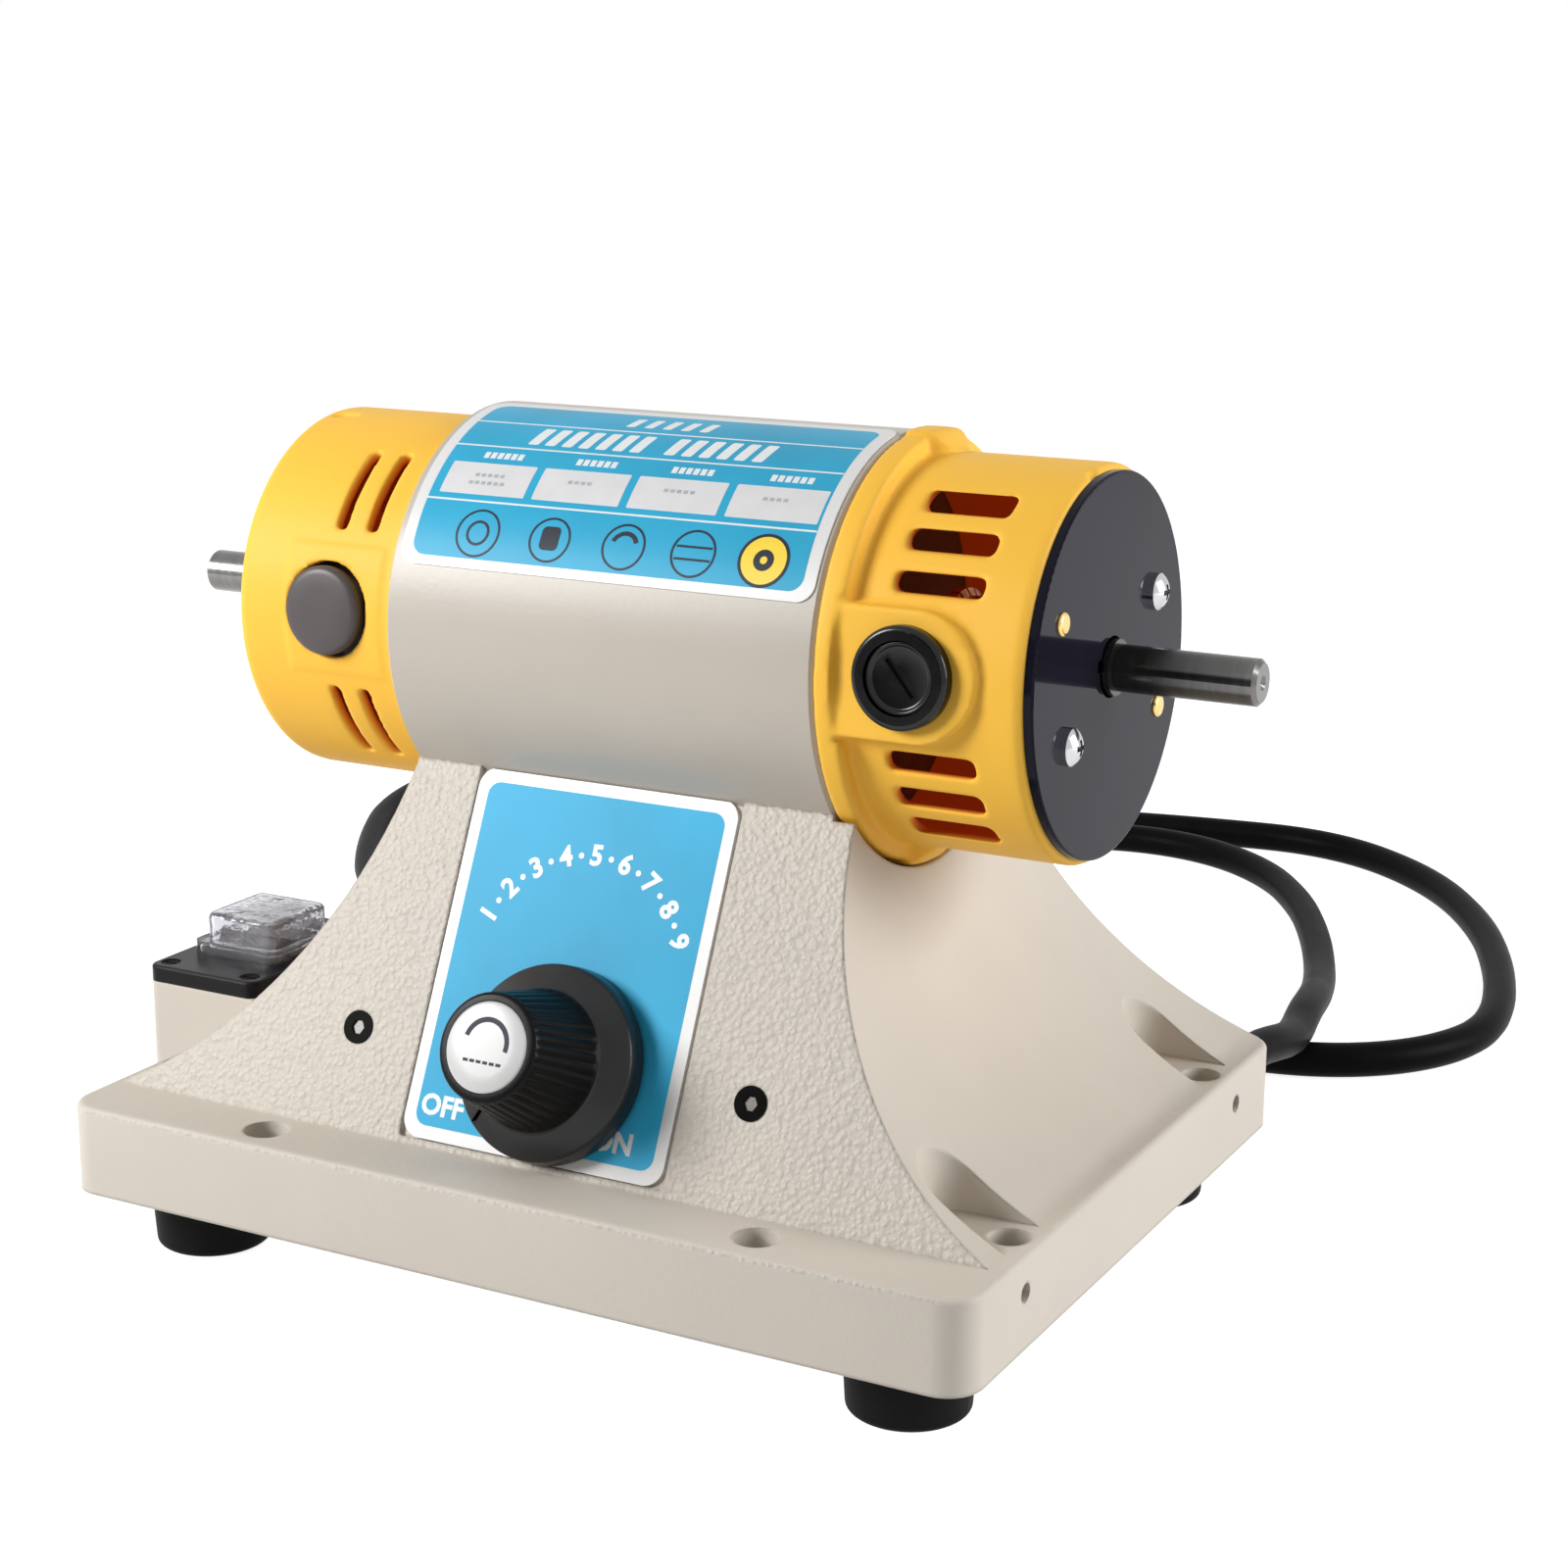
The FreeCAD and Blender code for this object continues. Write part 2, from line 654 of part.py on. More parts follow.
def pot_parts():
    """Potentiometer: body with its threaded bush, and the nut on the panel."""
    inside = -(casting_wall + recess_depth)
    body = rod(pot_body, inside - pot_depth, inside)
    bush = rod(pot_bush, inside, 3.2)
    lugs = [box(x - 1, x + 1, pot_body - 1, pot_body + 6, inside - 4, inside - 3.2) for x in (-5, 0, 5)]
    body = joined(body, bush, *lugs).cut(rod(pot_shaft + 0.05, inside - pot_depth + 2, 20))
    top = panel_thickness - recess_depth
    nut = Part.Face(Part.makePolygon([
        V(6.3 * math.cos(math.radians(60 * k)), 6.3 * math.sin(math.radians(60 * k)), top)
        for k in range(7)])).extrude(V(0, 0, 2.0)).cut(rod(pot_bush, -5, 5))
    return on_face(body, knob_x, knob_rise), on_face(nut, knob_x, knob_rise)


def pot_spindle():
    """Shaft of the potentiometer, fixed in the knob."""
    inside = -(casting_wall + recess_depth)
    return on_face(rod(pot_shaft, inside - pot_depth + 2.3, knob_height - 8), knob_x, knob_rise)


def speed_knob():
    """Skirted knob with a ribbed grip, a pointer groove, and a seat for its cap."""
    z0 = knob_gap
    z1 = z0 + knob_skirt_height
    z2 = z1 + 2.6
    top = knob_height
    profile = outline(
        V(0, 0, z0), V(knob_skirt, 0, z0), V(knob_skirt - 0.5, 0, z1 - 0.6), V(knob_skirt - 1.1, 0, z1),
        V(knob_grip + 0.6, 0, z2), V(knob_grip, 0, z2 + 0.8),
        V(knob_grip_top, 0, top - 0.8), V(knob_grip_top - 0.8, 0, top), V(0, 0, top))
    knob = profile.revolve(V(0, 0, 0), Z_AXIS, 360)
    lean = math.degrees(math.atan2(knob_grip - knob_grip_top, top - z2))
    groove = Part.makeCylinder(0.75, top - z2 - 3.6, V(knob_grip, 0, z2 + 1.4))
    groove.rotate(V(knob_grip, 0, z2), V(0, 1, 0), -lean)
    for k in range(knob_ribs):
        cutter = groove.copy()
        cutter.rotate(V(0, 0, 0), Z_AXIS, 360 / knob_ribs * (k + 0.5))
        knob = knob.cut(cutter)
    knob = knob.cut(rod(knob_cap_radius + 0.05, top - 0.7, top + 1))
    knob = knob.cut(rod(pot_shaft, z0 - 1, knob_height - 8))
    hollow = rod(knob_grip - 3, z0 - 1, z1 - 1.0)
    knob = knob.cut(hollow)
    pointer = box(knob_grip + 0.9, knob_skirt + 1, -0.45, 0.45, z1 - 0.4, z2 + 1)
    pointer.rotate(V(0, 0, 0), Z_AXIS, 225)
    knob = knob.cut(pointer)
    return on_face(knob, knob_x, knob_rise)


def knob_cap():
    """White disc pressed in the top of the knob."""
    cap = rod(knob_cap_radius, knob_height - 0.7, knob_height - 0.7 + knob_cap_thickness)
    cap = cap.makeFillet(0.4, edges_where(cap, lambda p, e: e.Closed and p.z > knob_height))
    return on_face(cap, knob_x, knob_rise)


# ---------------------------------------------------------------- motor case
def motor_tube():
    """Painted tube, with the bolt and wire holes in its underside."""
    tube = turned((tube_left, tube_bore), (tube_left, tube_radius - 0.9), (tube_left + 0.9, tube_radius),
                  (tube_right - 0.9, tube_radius), (tube_right, tube_radius - 0.9), (tube_right, tube_bore))
    for x in saddle_bolt_places():
        tube = tube.cut(rod(3.0, plate_top, axis_z - tube_bore / 2, x, 0))
    tube = tube.cut(rod(6.0, plate_top, axis_z - tube_bore / 2, (tube_left + tube_right) / 2, 0))
    for place in cap_screw_places():
        tube = tube.cut(cap_screw(*place))
    return tube


def data_plate():
    """Thin printed plate wrapped on the upper front of the tube."""
    left = tube_left + plate_label_margin[0]
    right = tube_right - plate_label_margin[1]
    outer = tube_radius + plate_label_thickness
    sheet = turned((left, tube_radius), (left, outer), (right, outer), (right, tube_radius),
                   start=plate_label_from, sweep=plate_label_to - plate_label_from)
    along = edges_where(sheet, lambda p, e: e.Length < 1.0)
    return sheet.makeFillet(4.0, along)


def cap_screw_places():
    """x and angle of the countersunk screws that pin the end caps in the tube, on the rear."""
    return [(x, angle) for x in (tube_left + spigot / 2, tube_right - spigot / 2) for angle in (150, 210)]


def cap_screw(x, angle):
    """Countersunk screw through the tube into a cap spigot."""
    inner = tube_bore - cap_wall + 0.4
    shank = rod(1.25, inner, tube_radius - 1.2)
    head = Part.makeCone(1.25, 2.5, 1.2, V(0, 0, tube_radius - 1.3))
    screw = leaning(joined(shank, head), V(x, 0, axis_z), 0)
    return about_axis(screw, angle)


def cap_screws():
    """The four screws of the end caps."""
    return group(*[cap_screw(x, angle) for x, angle in cap_screw_places()])


def ring_vents():
    """Cutters for the short vents that run round the left cap."""
    cutters = []
    low, high = left_cap_radius - 2 * cap_wall, left_cap_radius + cap_wall
    for x in ring_vent_x:
        for side in (0, 180):
            for start, shift in ((ring_vent_from, 0), (-ring_vent_to, ring_vent_shift)):
                left, right = around(x + shift, ring_vent_width)
                cutter = turned((left, low), (left, high), (right, high), (right, low),
                                sweep=ring_vent_to - ring_vent_from)
                ends = edges_where(cutter, lambda p, e: abs(e.Length - high + low) < 0.01)
                cutter = cutter.makeFillet(0.45 * ring_vent_width, ends)
                cutters.append(about_axis(cutter, side + brush_tilt + start))
    return cutters


def left_end_cap():
    """Moulded cap with a rounded end, an inner bearing seat and vents that run round it."""
    inner = left_cap_radius - cap_wall
    r = left_round
    bend = r * (1 - math.sqrt(0.5))
    spigot_end = tube_left + spigot
    seat_end = left_boss_end
    wall_in = left_end + cap_end_wall
    bore = shaft_body + 1.0
    bend_in = (r - cap_wall) * (1 - math.sqrt(0.5))
    cap = turned(
        (left_end, bore), (left_end, left_cap_radius - r),
        ((left_end + bend, left_cap_radius - bend), (left_end + r, left_cap_radius)),
        (tube_left, left_cap_radius), (tube_left, tube_bore), (spigot_end, tube_bore), (spigot_end, inner),
        (left_end + r, inner),
        ((wall_in + bend_in, inner - bend_in), (wall_in, inner - r + cap_wall)),
        (wall_in, bearing_boss), (seat_end, bearing_boss), (seat_end, bearing_outer),
        (wall_in, bearing_outer), (wall_in, bore))
    low, high = left_cap_radius - cap_wall / 2, left_cap_radius + lock_land_rise
    land = turned((lock_land[0], low), (lock_land[0], high), (lock_land[1], high), (lock_land[1], low),
                  start=brush_tilt - lock_land_span, sweep=2 * lock_land_span)
    cap = joined(cap, land)
    cap = cap.cut(about_axis(radial(rod(rim_notch[1], inner - 1, left_cap_radius + 1), left_end + r), 76))
    for cutter in ring_vents():
        cap = cap.cut(cutter)
    cap = cap.cut(radial(rod(lock_button + 0.35, 30, 60), lock_x))
    for place in cap_screw_places():
        cap = cap.cut(cap_screw(*place))
    return cap


def lug(turn):
    """Round lug at the flange of the right cap, above or below."""
    x = lug_end - lug_width / 2
    boss = radial(rod(lug_width / 2, right_cap_radius - cap_wall / 2, lug_radius + 2), x)
    crown = x_rod(lug_radius, tube_right, lug_end)
    crown = crown.makeFillet(2.5, edges_where(crown, lambda p, e: e.Closed and p.x > lug_end - 0.1))
    return about_axis(boss.common(crown), turn)


def right_end_cap():
    """Moulded cap with a flange, lugs, brush pads, vents drawn forward, and a bearing seat."""
    inner = right_cap_radius - cap_wall
    spigot_end = tube_right - spigot
    wall_in = disc_back - cap_end_wall
    seat = disc_back - bearing_width
    boss_back = seat - cap_end_wall
    cap = turned(
        (spigot_end, inner), (spigot_end, tube_bore), (tube_right, tube_bore),
        (tube_right, tube_radius), (flange_end - 0.8, tube_radius), (flange_end, tube_radius - 0.8),
        (flange_end, right_cap_radius), (disc_back - right_round, right_cap_radius),
        (disc_back, right_cap_radius - right_round), (disc_back, bearing_outer), (seat, bearing_outer),
        (seat, shaft_body + 2.5), (boss_back, shaft_body + 2.5), (boss_back, bearing_boss),
        (wall_in, bearing_boss), (wall_in, inner))
    cap = joined(cap, lug(90), lug(-90))
    keep_out = x_rod(inner, spigot_end, wall_in)
    pad_start = flange_end - brush_land_step
    for back in (False, True):
        low, high = right_cap_radius, tube_radius + 1
        land = turned((pad_start, low), (pad_start, high), (flange_end + 1, high), (flange_end + 1, low),
                      start=brush_tilt - brush_land, sweep=2 * brush_land)
        cap = cap.cut(about_axis(land, 180) if back else land)
        pad = rod(brush_pad, brush_pad_reach - 3.5 * cap_wall, brush_pad_reach, brush_pad_shift)
        pad = pad.fuse(box(pad_start - brush_x - 1, brush_pad_shift, -brush_pad, brush_pad,
                           brush_pad_reach - 3.5 * cap_wall, brush_pad_reach))
        cap = joined(cap, radial(pad, brush_x, back).cut(keep_out))
    for back in (False, True):
        cap = cap.cut(radial(rod(brush_tube, 20, 60), brush_x, back))
    length = vent_to - vent_from
    for back in (False, True):
        for angle in [sign * a for a in vent_angles for sign in (-1, 1)]:
            across = right_cap_radius * math.sin(math.radians(angle))
            depth = math.sqrt(inner ** 2 - (abs(across) + vent_width / 2) ** 2) - cap_wall
            slot = rounded_block(length, vent_width, right_cap_radius - depth + 1, 1.6,
                                 (vent_from + vent_to) / 2 - brush_x, across, depth)
            cap = cap.cut(radial(slot, brush_x, back))
    notch = box(disc_back - rim_notch[1], disc_back + 1, *around(0, rim_notch[0]),
                axis_z + right_cap_radius - rim_notch[1], axis_z + right_cap_radius + 1)
    cap = cap.cut(about_axis(notch, -10))
    for place in cap_screw_places():
        cap = cap.cut(cap_screw(*place))
    for y, z in disc_places(disc_screw_reach, disc_screw_angle, 1):
        cap = joined(cap, x_rod(4.6, wall_in - 7, wall_in + 0.5, y, z))
        cap = cap.cut(x_rod(disc_screw, wall_in - 5, disc_back + 1, y, z))
    for y, z in disc_places(disc_pin_reach, disc_pin_angle, -1):
        cap = cap.cut(x_rod(disc_pin, wall_in - 1, disc_back + 1, y, z))
    return cap


def disc_places(reach, angle, sense):
    """Two opposite places on the end disc."""
    y = reach * math.cos(math.radians(angle)) * sense
    z = reach * math.sin(math.radians(angle))
    return [(y, axis_z + z), (-y, axis_z - z)]


def end_disc():
    """Glossy black disc that closes the right cap and holds the bearing in."""
    disc = x_rod(disc_radius, disc_back, right_end)
    disc = disc.makeFillet(0.5, edges_where(disc, lambda p, e: e.Closed and p.x > right_end - 0.1))
    disc = disc.cut(x_rod(disc_hole, 0, right_end + 1))
    for y, z in disc_places(disc_screw_reach, disc_screw_angle, 1):
        disc = disc.cut(x_rod(disc_screw, 0, right_end + 1, y, z))
    for y, z in disc_places(disc_pin_reach, disc_pin_angle, -1):
        disc = disc.cut(x_rod(disc_pin, 0, right_end + 1, y, z))
    for turn in (80, 260):
        notch = box(disc_back - 1, right_end + 1, -1.3, 1.3, axis_z, axis_z + disc_hole + 1.1)
        notch.rotate(V(0, 0, axis_z), X_AXIS, turn)
        disc = disc.cut(notch)
    return disc


def disc_screws():
    """Two pan-head cross screws of the end disc."""
    screws = []
    for y, z in disc_places(disc_screw_reach, disc_screw_angle, 1):
        screw = pan_screw(disc_screw, disc_screw_head, disc_thickness + cap_end_wall + 4.0,
                          disc_screw_rise)
        screw.rotate(V(0, 0, 0), V(0, 1, 0), 90)
        screw.translate(V(right_end, y, z))
        screws.append(screw)
    return group(*screws)


def disc_pins():
    """Two brass pins through the end disc into the cap."""
    pins = []
    for y, z in disc_places(disc_pin_reach, disc_pin_angle, -1):
        pin = x_rod(disc_pin, disc_back - cap_end_wall, right_end + 0.8, y, z)
        pins.append(pin.makeFillet(0.7, edges_where(pin, lambda p, e: e.Closed and p.x > right_end)))
    return group(*pins)


def stator_core():
    """Laminated ring with an upper and a lower pole."""
    ring = x_rod(tube_bore, core_left, core_right).cut(x_rod(yoke_inner, core_left, core_right))
    face = core_radius + air_gap
    outer = face + shoe_thickness
    core = ring
    for start in (90 - shoe_span, -90 - shoe_span):
        shoe = turned((core_left, face), (core_left, outer), (core_right, outer), (core_right, face),
                      start=start, sweep=2 * shoe_span)
        core = core.fuse(shoe)
    for sign in (-1, 1):
        low, high = sorted((axis_z + sign * (face + 1.5), axis_z + sign * (yoke_inner + 1.5)))
        core = core.fuse(box(core_left, core_right, -pole_neck, pole_neck, low, high))
    core = core.cut(x_rod(face, core_left, core_right)).removeSplitter()
    return core


def field_coils():
    """Two taped coils round the necks of the poles."""
    inner = core_radius + air_gap + shoe_thickness + 0.3
    outer = yoke_inner - 0.3
    coils = []
    for middle in (90, -90):
        reach = 50.0
        coil = turned((core_left - 7, inner), (core_left - 7, outer), (core_right + 7, outer),
                      (core_right + 7, inner), start=middle - reach, sweep=2 * reach)
        low, high = sorted((axis_z, axis_z + math.copysign(60, middle)))
        coil = coil.cut(box(core_left - 0.3, core_right + 0.3, -pole_neck - 0.3, pole_neck + 0.3, low, high))
        coils.append(coil)
    return group(*coils)


# ---------------------------------------------------------------- brush gear
def brush_parts():
    """Holders, caps, carbon blocks and springs at the front and rear of the commutator."""
    bore_x, bore_y, length = carbon
    low = commutator_radius + 3.0
    seat = commutator_radius + running_gap + length
    cap_low = brush_pad_reach - brush_cap_depth
    holders, caps, blocks, springs = [], [], [], []
    for back in (False, True):
        flange = rod(brush_bezel, brush_pad_reach, brush_bezel_reach)
        rim = edges_where(flange, lambda p, e: e.Closed and p.z > brush_bezel_reach - 0.1)
        flange = flange.makeFillet(1.2, rim)
        tube = rod(brush_tube, low, brush_pad_reach + 0.5)
        holder = joined(flange, tube)
        guide = box(-bore_x / 2 - 0.05, bore_x / 2 + 0.05, -bore_y / 2 - 0.05, bore_y / 2 + 0.05, 0, cap_low)
        holder = holder.cut(guide)
        holder = holder.cut(rod(brush_cap, brush_pad_reach, brush_bezel_reach + 1))
        holder = holder.cut(rod(brush_tube - brush_tube_wall, cap_low, brush_bezel_reach + 1))
        holders.append(radial(holder, brush_x, back))
        head = rod(brush_cap, brush_pad_reach, brush_cap_reach)
        head = head.makeFillet(0.6, edges_where(head, lambda p, e: e.Closed and p.z > brush_cap_reach - 0.1))
        cap = joined(head, rod(brush_tube - brush_tube_wall, cap_low, brush_pad_reach))
        slot = box(-0.6 * brush_cap, 0.6 * brush_cap, -0.9, 0.9, brush_cap_reach - 1.4, brush_cap_reach + 1)
        slot.rotate(V(0, 0, 0), Z_AXIS, -50)
        caps.append(radial(cap.cut(slot), brush_x, back))
        block = box(-bore_x / 2, bore_x / 2, -bore_y / 2, bore_y / 2, 0, seat)
        block = radial(block, brush_x, back)
        face = x_rod(commutator_radius + running_gap, brush_x - bore_x, brush_x + bore_x)
        blocks.append(block.cut(face))
        springs.append(radial(coil_spring(2.3, 0.35, seat, cap_low, 6), brush_x, back))
    return group(*holders), group(*caps), group(*blocks), group(*springs)


def coil_spring(radius, wire, z0, z1, turns):
    """Open coil spring along Z between two seats, of six-sided wire in short straight lengths."""
    sides, steps = 6, 12
    count = turns * steps
    rise = (z1 - z0 - 2 * wire) / count
    line = [V(radius * math.cos(2 * math.pi * k / steps), radius * math.sin(2 * math.pi * k / steps),
              z0 + wire + rise * k) for k in range(count + 1)]
    ways = [(b - a).normalize() for a, b in zip(line, line[1:])]
    across = ways[0].cross(Z_AXIS).normalize()
    upward = across.cross(ways[0])
    corners = [2 * math.pi * k / sides for k in range(sides)]
    ring = [line[0] + across * (wire * math.cos(a)) + upward * (wire * math.sin(a)) for a in corners]
    faces = [Part.Face(Part.makePolygon(ring + ring[:1]))]
    for k, way in enumerate(ways):
        mitre = way + ways[min(k + 1, count - 1)]
        ahead = [p + way * ((line[k + 1] - p).dot(mitre) / way.dot(mitre)) for p in ring]
        for m in range(sides):
            n = (m + 1) % sides
            faces.append(Part.Face(Part.makePolygon([ring[m], ring[n], ahead[n], ahead[m], ring[m]])))
        ring = ahead
    faces.append(Part.Face(Part.makePolygon(ring + ring[:1])))
    shell = Part.makeShell(faces)
    shell.sewShape()
    spring = Part.makeSolid(shell)
    if spring.Volume < 0:
        spring.reverse()
    return spring


# ---------------------------------------------------------------- turning parts
def spindle_shaft():
    """Ground shaft: thick through the motor, thinner at both working ends."""
    thick_left = left_end - shaft_shoulder
    thick_right = right_end + shaft_shoulder
    c = shaft_chamfer
    shaft = turned(
        (shaft_left, 0), (shaft_left, shaft_end - c), (shaft_left + c, shaft_end), (thick_left, shaft_end),
        (thick_left, shaft_body), (thick_right, shaft_body), (thick_right, shaft_end),
        (shaft_right - c, shaft_end), (shaft_right, shaft_end - c), (shaft_right, 0))
    for x, way in ((shaft_left, 1), (shaft_right, -1)):
        centre = Part.makeCone(1.6, 0.0, 1.6, V(x, 0, axis_z), V(way, 0, 0))
        shaft = shaft.cut(centre)
    return shaft


def spoked(section, count):
    """Copies of a bar of the given section, spread evenly round the motor axis."""
    copies = []
    for k in range(count):
        copies.append(about_axis(section, 360 / count * k))
    return copies


def slot_bar(grow):
    """Armature slot: a round bottom and a narrower mouth, from front of the core outward."""
    outer = core_radius + (1.0 if grow else -0.6)
    bottom = core_radius - slot_depth
    bar = box(core_left, core_right, -outer, -bottom, axis_z - 1.9, axis_z + 1.9)
    return bar.fuse(x_rod(1.9, core_left, core_right, -bottom, axis_z))


def armature_core():
    """Laminated core with wire slots."""
    core = x_rod(core_radius, core_left, core_right)
    for bar in spoked(slot_bar(True), core_slots):
        core = core.cut(bar)
    return core.cut(x_rod(shaft_body, core_left - 1, core_right + 1))


def armature_windings():
    """Wire in the slots and its bundles at both ends of the core."""
    ends = []
    for x0, x1, crown in ((core_left - winding_overhang, core_left, core_left - 8),
                          (core_right, core_right + winding_overhang, core_right + 8)):
        near, far = (x1, x0) if x0 < core_left else (x0, x1)
        ends.append(turned((near, 9.0), (near, core_radius - 2.5),
                           ((crown, core_radius - 3.6), (far, 13.0)), (far, 9.0)))
    bars = spoked(slot_bar(False), core_slots)
    return joined(*ends, *bars).cut(x_rod(8.0, core_left - 20, core_right + 20))


def commutator():
    """Copper bars on an insulating hub, with a riser towards the windings."""
    left = brush_x - commutator_length / 2
    right = left + commutator_length
    drum = turned((left, shaft_body), (left, commutator_radius + 1.6), (left + 2.2, commutator_radius + 1.6),
                  (left + 3.2, commutator_radius), (right, commutator_radius), (right, shaft_body))
    gap = box(left - 1, right + 1, -commutator_radius - 3, -commutator_radius + 0.7,
              axis_z - 0.3, axis_z + 0.3)
    for cutter in spoked(gap, commutator_bars):
        drum = drum.cut(cutter)
    return drum


def winding_leads():
    """Insulated sleeve that carries the winding ends to the commutator."""
    left = core_right + winding_overhang
    right = brush_x - commutator_length / 2
    return turned((left, shaft_body), (left, 11.0), ((left + 8, 9.4), (right - 4, 9.2)),
                  (right, 10.6), (right, shaft_body))


def cooling_fan():
    """Moulded fan with leaning radial blades."""
    right = fan_left + fan_width
    hub = turned((fan_left, shaft_body), (fan_left, 11.0), (right, 11.0), (right, shaft_body))
    web = turned((right - 1.8, 10.0), (right - 1.8, fan_radius), (right, fan_radius), (right, 10.0))
    blade = box(fan_left, right - 1.0, -fan_radius, -10.5, axis_z - 0.8, axis_z + 0.8)
    blade.rotate(V(0, -11, axis_z), X_AXIS, 14)
    return joined(hub, web, *spoked(blade, fan_blades)).cut(
        x_rod(shaft_body, fan_left - 1, right + 1))


def lock_collar_piece():
    """Steel collar with four blind holes for the lock pin."""
    half = lock_collar_width / 2
    collar = turned((lock_x - half, shaft_body), (lock_x - half, lock_collar - 0.8),
                    (lock_x - half + 0.8, lock_collar), (lock_x + half - 0.8, lock_collar),
                    (lock_x + half, lock_collar - 0.8), (lock_x + half, shaft_body))
    for k in range(4):
        hole = radial(rod(lock_pin + 0.35, lock_collar - lock_travel - 0.5, lock_collar + 2), lock_x)
        collar = collar.cut(about_axis(hole, 90 * k))
    return collar


def bearing(left):
    """Outer ring, inner ring and balls of a deep-groove bearing."""
    right = left + bearing_width
    middle = (left + right) / 2
    pitch = (bearing_outer + bearing_inner - 0.1) / 2 + 0.25
    groove = Part.makeTorus(pitch, bearing_ball + 0.06, V(middle, 0, axis_z), X_AXIS)
    outer = turned((left, pitch + 1.3), (left, bearing_outer), (right, bearing_outer), (right, pitch + 1.3))
    inner = turned((left, shaft_body), (left, pitch - 1.3), (right, pitch - 1.3), (right, shaft_body))
    balls = []
    for k in range(bearing_balls):
        angle = 2 * math.pi * k / bearing_balls
        balls.append(Part.makeSphere(
            bearing_ball, V(middle, pitch * math.cos(angle), axis_z + pitch * math.sin(angle))))
    return outer.cut(groove), inner.cut(groove), balls


# ---------------------------------------------------------------- spindle lock
def lock_parts():
    """Cup inside the cap wall that guides the button, and the button with its pin."""
    inner = left_cap_radius - cap_wall
    cup = joined(rod(lock_guide, lock_floor - 2.2, 50), rod(2 * lock_pin, lock_collar + 9, lock_floor))
    cup = cup.cut(rod(lock_guide - 1.8, lock_floor, 60)).cut(rod(lock_pin + 0.05, 0, 60))
    cup = radial(cup, lock_x).common(x_rod(inner, left_end, tube_left))
    top = left_cap_radius + lock_button_proud
    button = rod(lock_button, top - lock_button_thickness, top)
    button = button.makeFillet(0.9, edges_where(button, lambda p, e: e.Closed and p.z > top - 0.1))
    pin = rod(lock_pin, lock_collar + 0.8, top - 1.5)
    return cup, radial(joined(button, pin), lock_x)


def lock_spring():
    """Return spring under the button, at its pressed length."""
    seat = left_cap_radius + lock_button_proud - lock_button_thickness
    pressed = seat - lock_floor - lock_travel
    return radial(coil_spring(2 * lock_pin, 0.4, seat - pressed + 0.2, seat, 3), lock_x)


# ---------------------------------------------------------------- mains switch
def switch_fixings():
    """Y of the two screws that hold the switch box on the plate."""
    return [box_front + 12, box_rear - 12]


def switch_box():
    """Open-topped cast box on the left side of the plate."""
    height = box_top - plate_bottom
    depth = box_rear - box_front
    outer = rounded_block(box_width, depth, height, box_corner, box_x, box_y, plate_bottom)
    flat = box(box_x, box_x + box_width / 2, box_front, box_rear, plate_bottom, box_top)
    outer = joined(outer, flat)
    inner = rounded_block(box_width - 2 * box_wall, depth - 2 * box_wall, height,
                          box_corner / 2, box_x, box_y, plate_bottom + box_wall)
    shell = outer.cut(inner)
    for y in switch_fixings():
        shell = shell.cut(x_rod(2.0, box_x, -base_width / 2 + 1, y, plate_top - side_hole_drop))
    for x, y in lid_screw_places():
        post = rod(2.6, plate_bottom + box_wall, box_top, x, y)
        shell = joined(shell, post.common(outer)).cut(rod(1.25, box_top - 10, box_top + 1, x, y))
    return shell


def lid_screw_places():
    """Middles of the four lid screws."""
    depth = box_rear - box_front
    return [(box_x + sx * (box_width / 2 - 4.2), box_y + sy * (depth / 2 - 4.2))
            for sx in (-1, 1) for sy in (-1, 1)]


def switch_lid():
    """Black lid with the opening for the switch."""
    depth = box_rear - box_front
    lid = rounded_block(box_width, depth, lid_thickness, box_corner, box_x, box_y, box_top)
    lid = lid.makeFillet(0.8, edges_where(lid, lambda p, e: level(e) and abs(p.z - lid_top) < 1e-4))
    opening = around(box_x, housing_body[0]) + around(box_y, housing_body[1])
    lid = lid.cut(box(*opening, box_top - 1, lid_top + 1))
    for x, y in lid_screw_places():
        lid = lid.cut(rod(1.25, box_top - 1, lid_top + 1, x, y))
        lid = lid.cut(rod(2.5, lid_top - 1.6, lid_top + 1, x, y))
    return lid


def around(middle, width):
    """Low and high end of a stretch about its middle."""
    return middle - width / 2, middle + width / 2


def lid_screws():
    """Countersunk screws of the lid, flush with it."""
    screws = []
    for x, y in lid_screw_places():
        head = rod(2.5, lid_top - 1.6, lid_top - 0.2, x, y)
        shank = rod(1.25, box_top - 8, lid_top - 1.6, x, y)
        slot = box(x - 1.9, x + 1.9, y - 0.35, y + 0.35, lid_top - 0.9, lid_top)
        screws.append(joined(head, shank).cut(slot))
    return group(*screws)


def switch_box_screws():
    """Pan-head screws from inside the box into the plate."""
    screws = []
    for y in switch_fixings():
        screw = pan_screw(2.0, 3.6, box_wall + 10, 2.4)
        screw.rotate(V(0, 0, 0), V(0, 1, 0), -90)
        screw.translate(V(-base_width / 2 - box_wall, y, plate_top - side_hole_drop))
        screws.append(screw)
    return group(*screws)


def rocker_pivot():
    """Middle of the rocker's hinge."""
    return V(box_x, box_y, lid_top - 2.0)


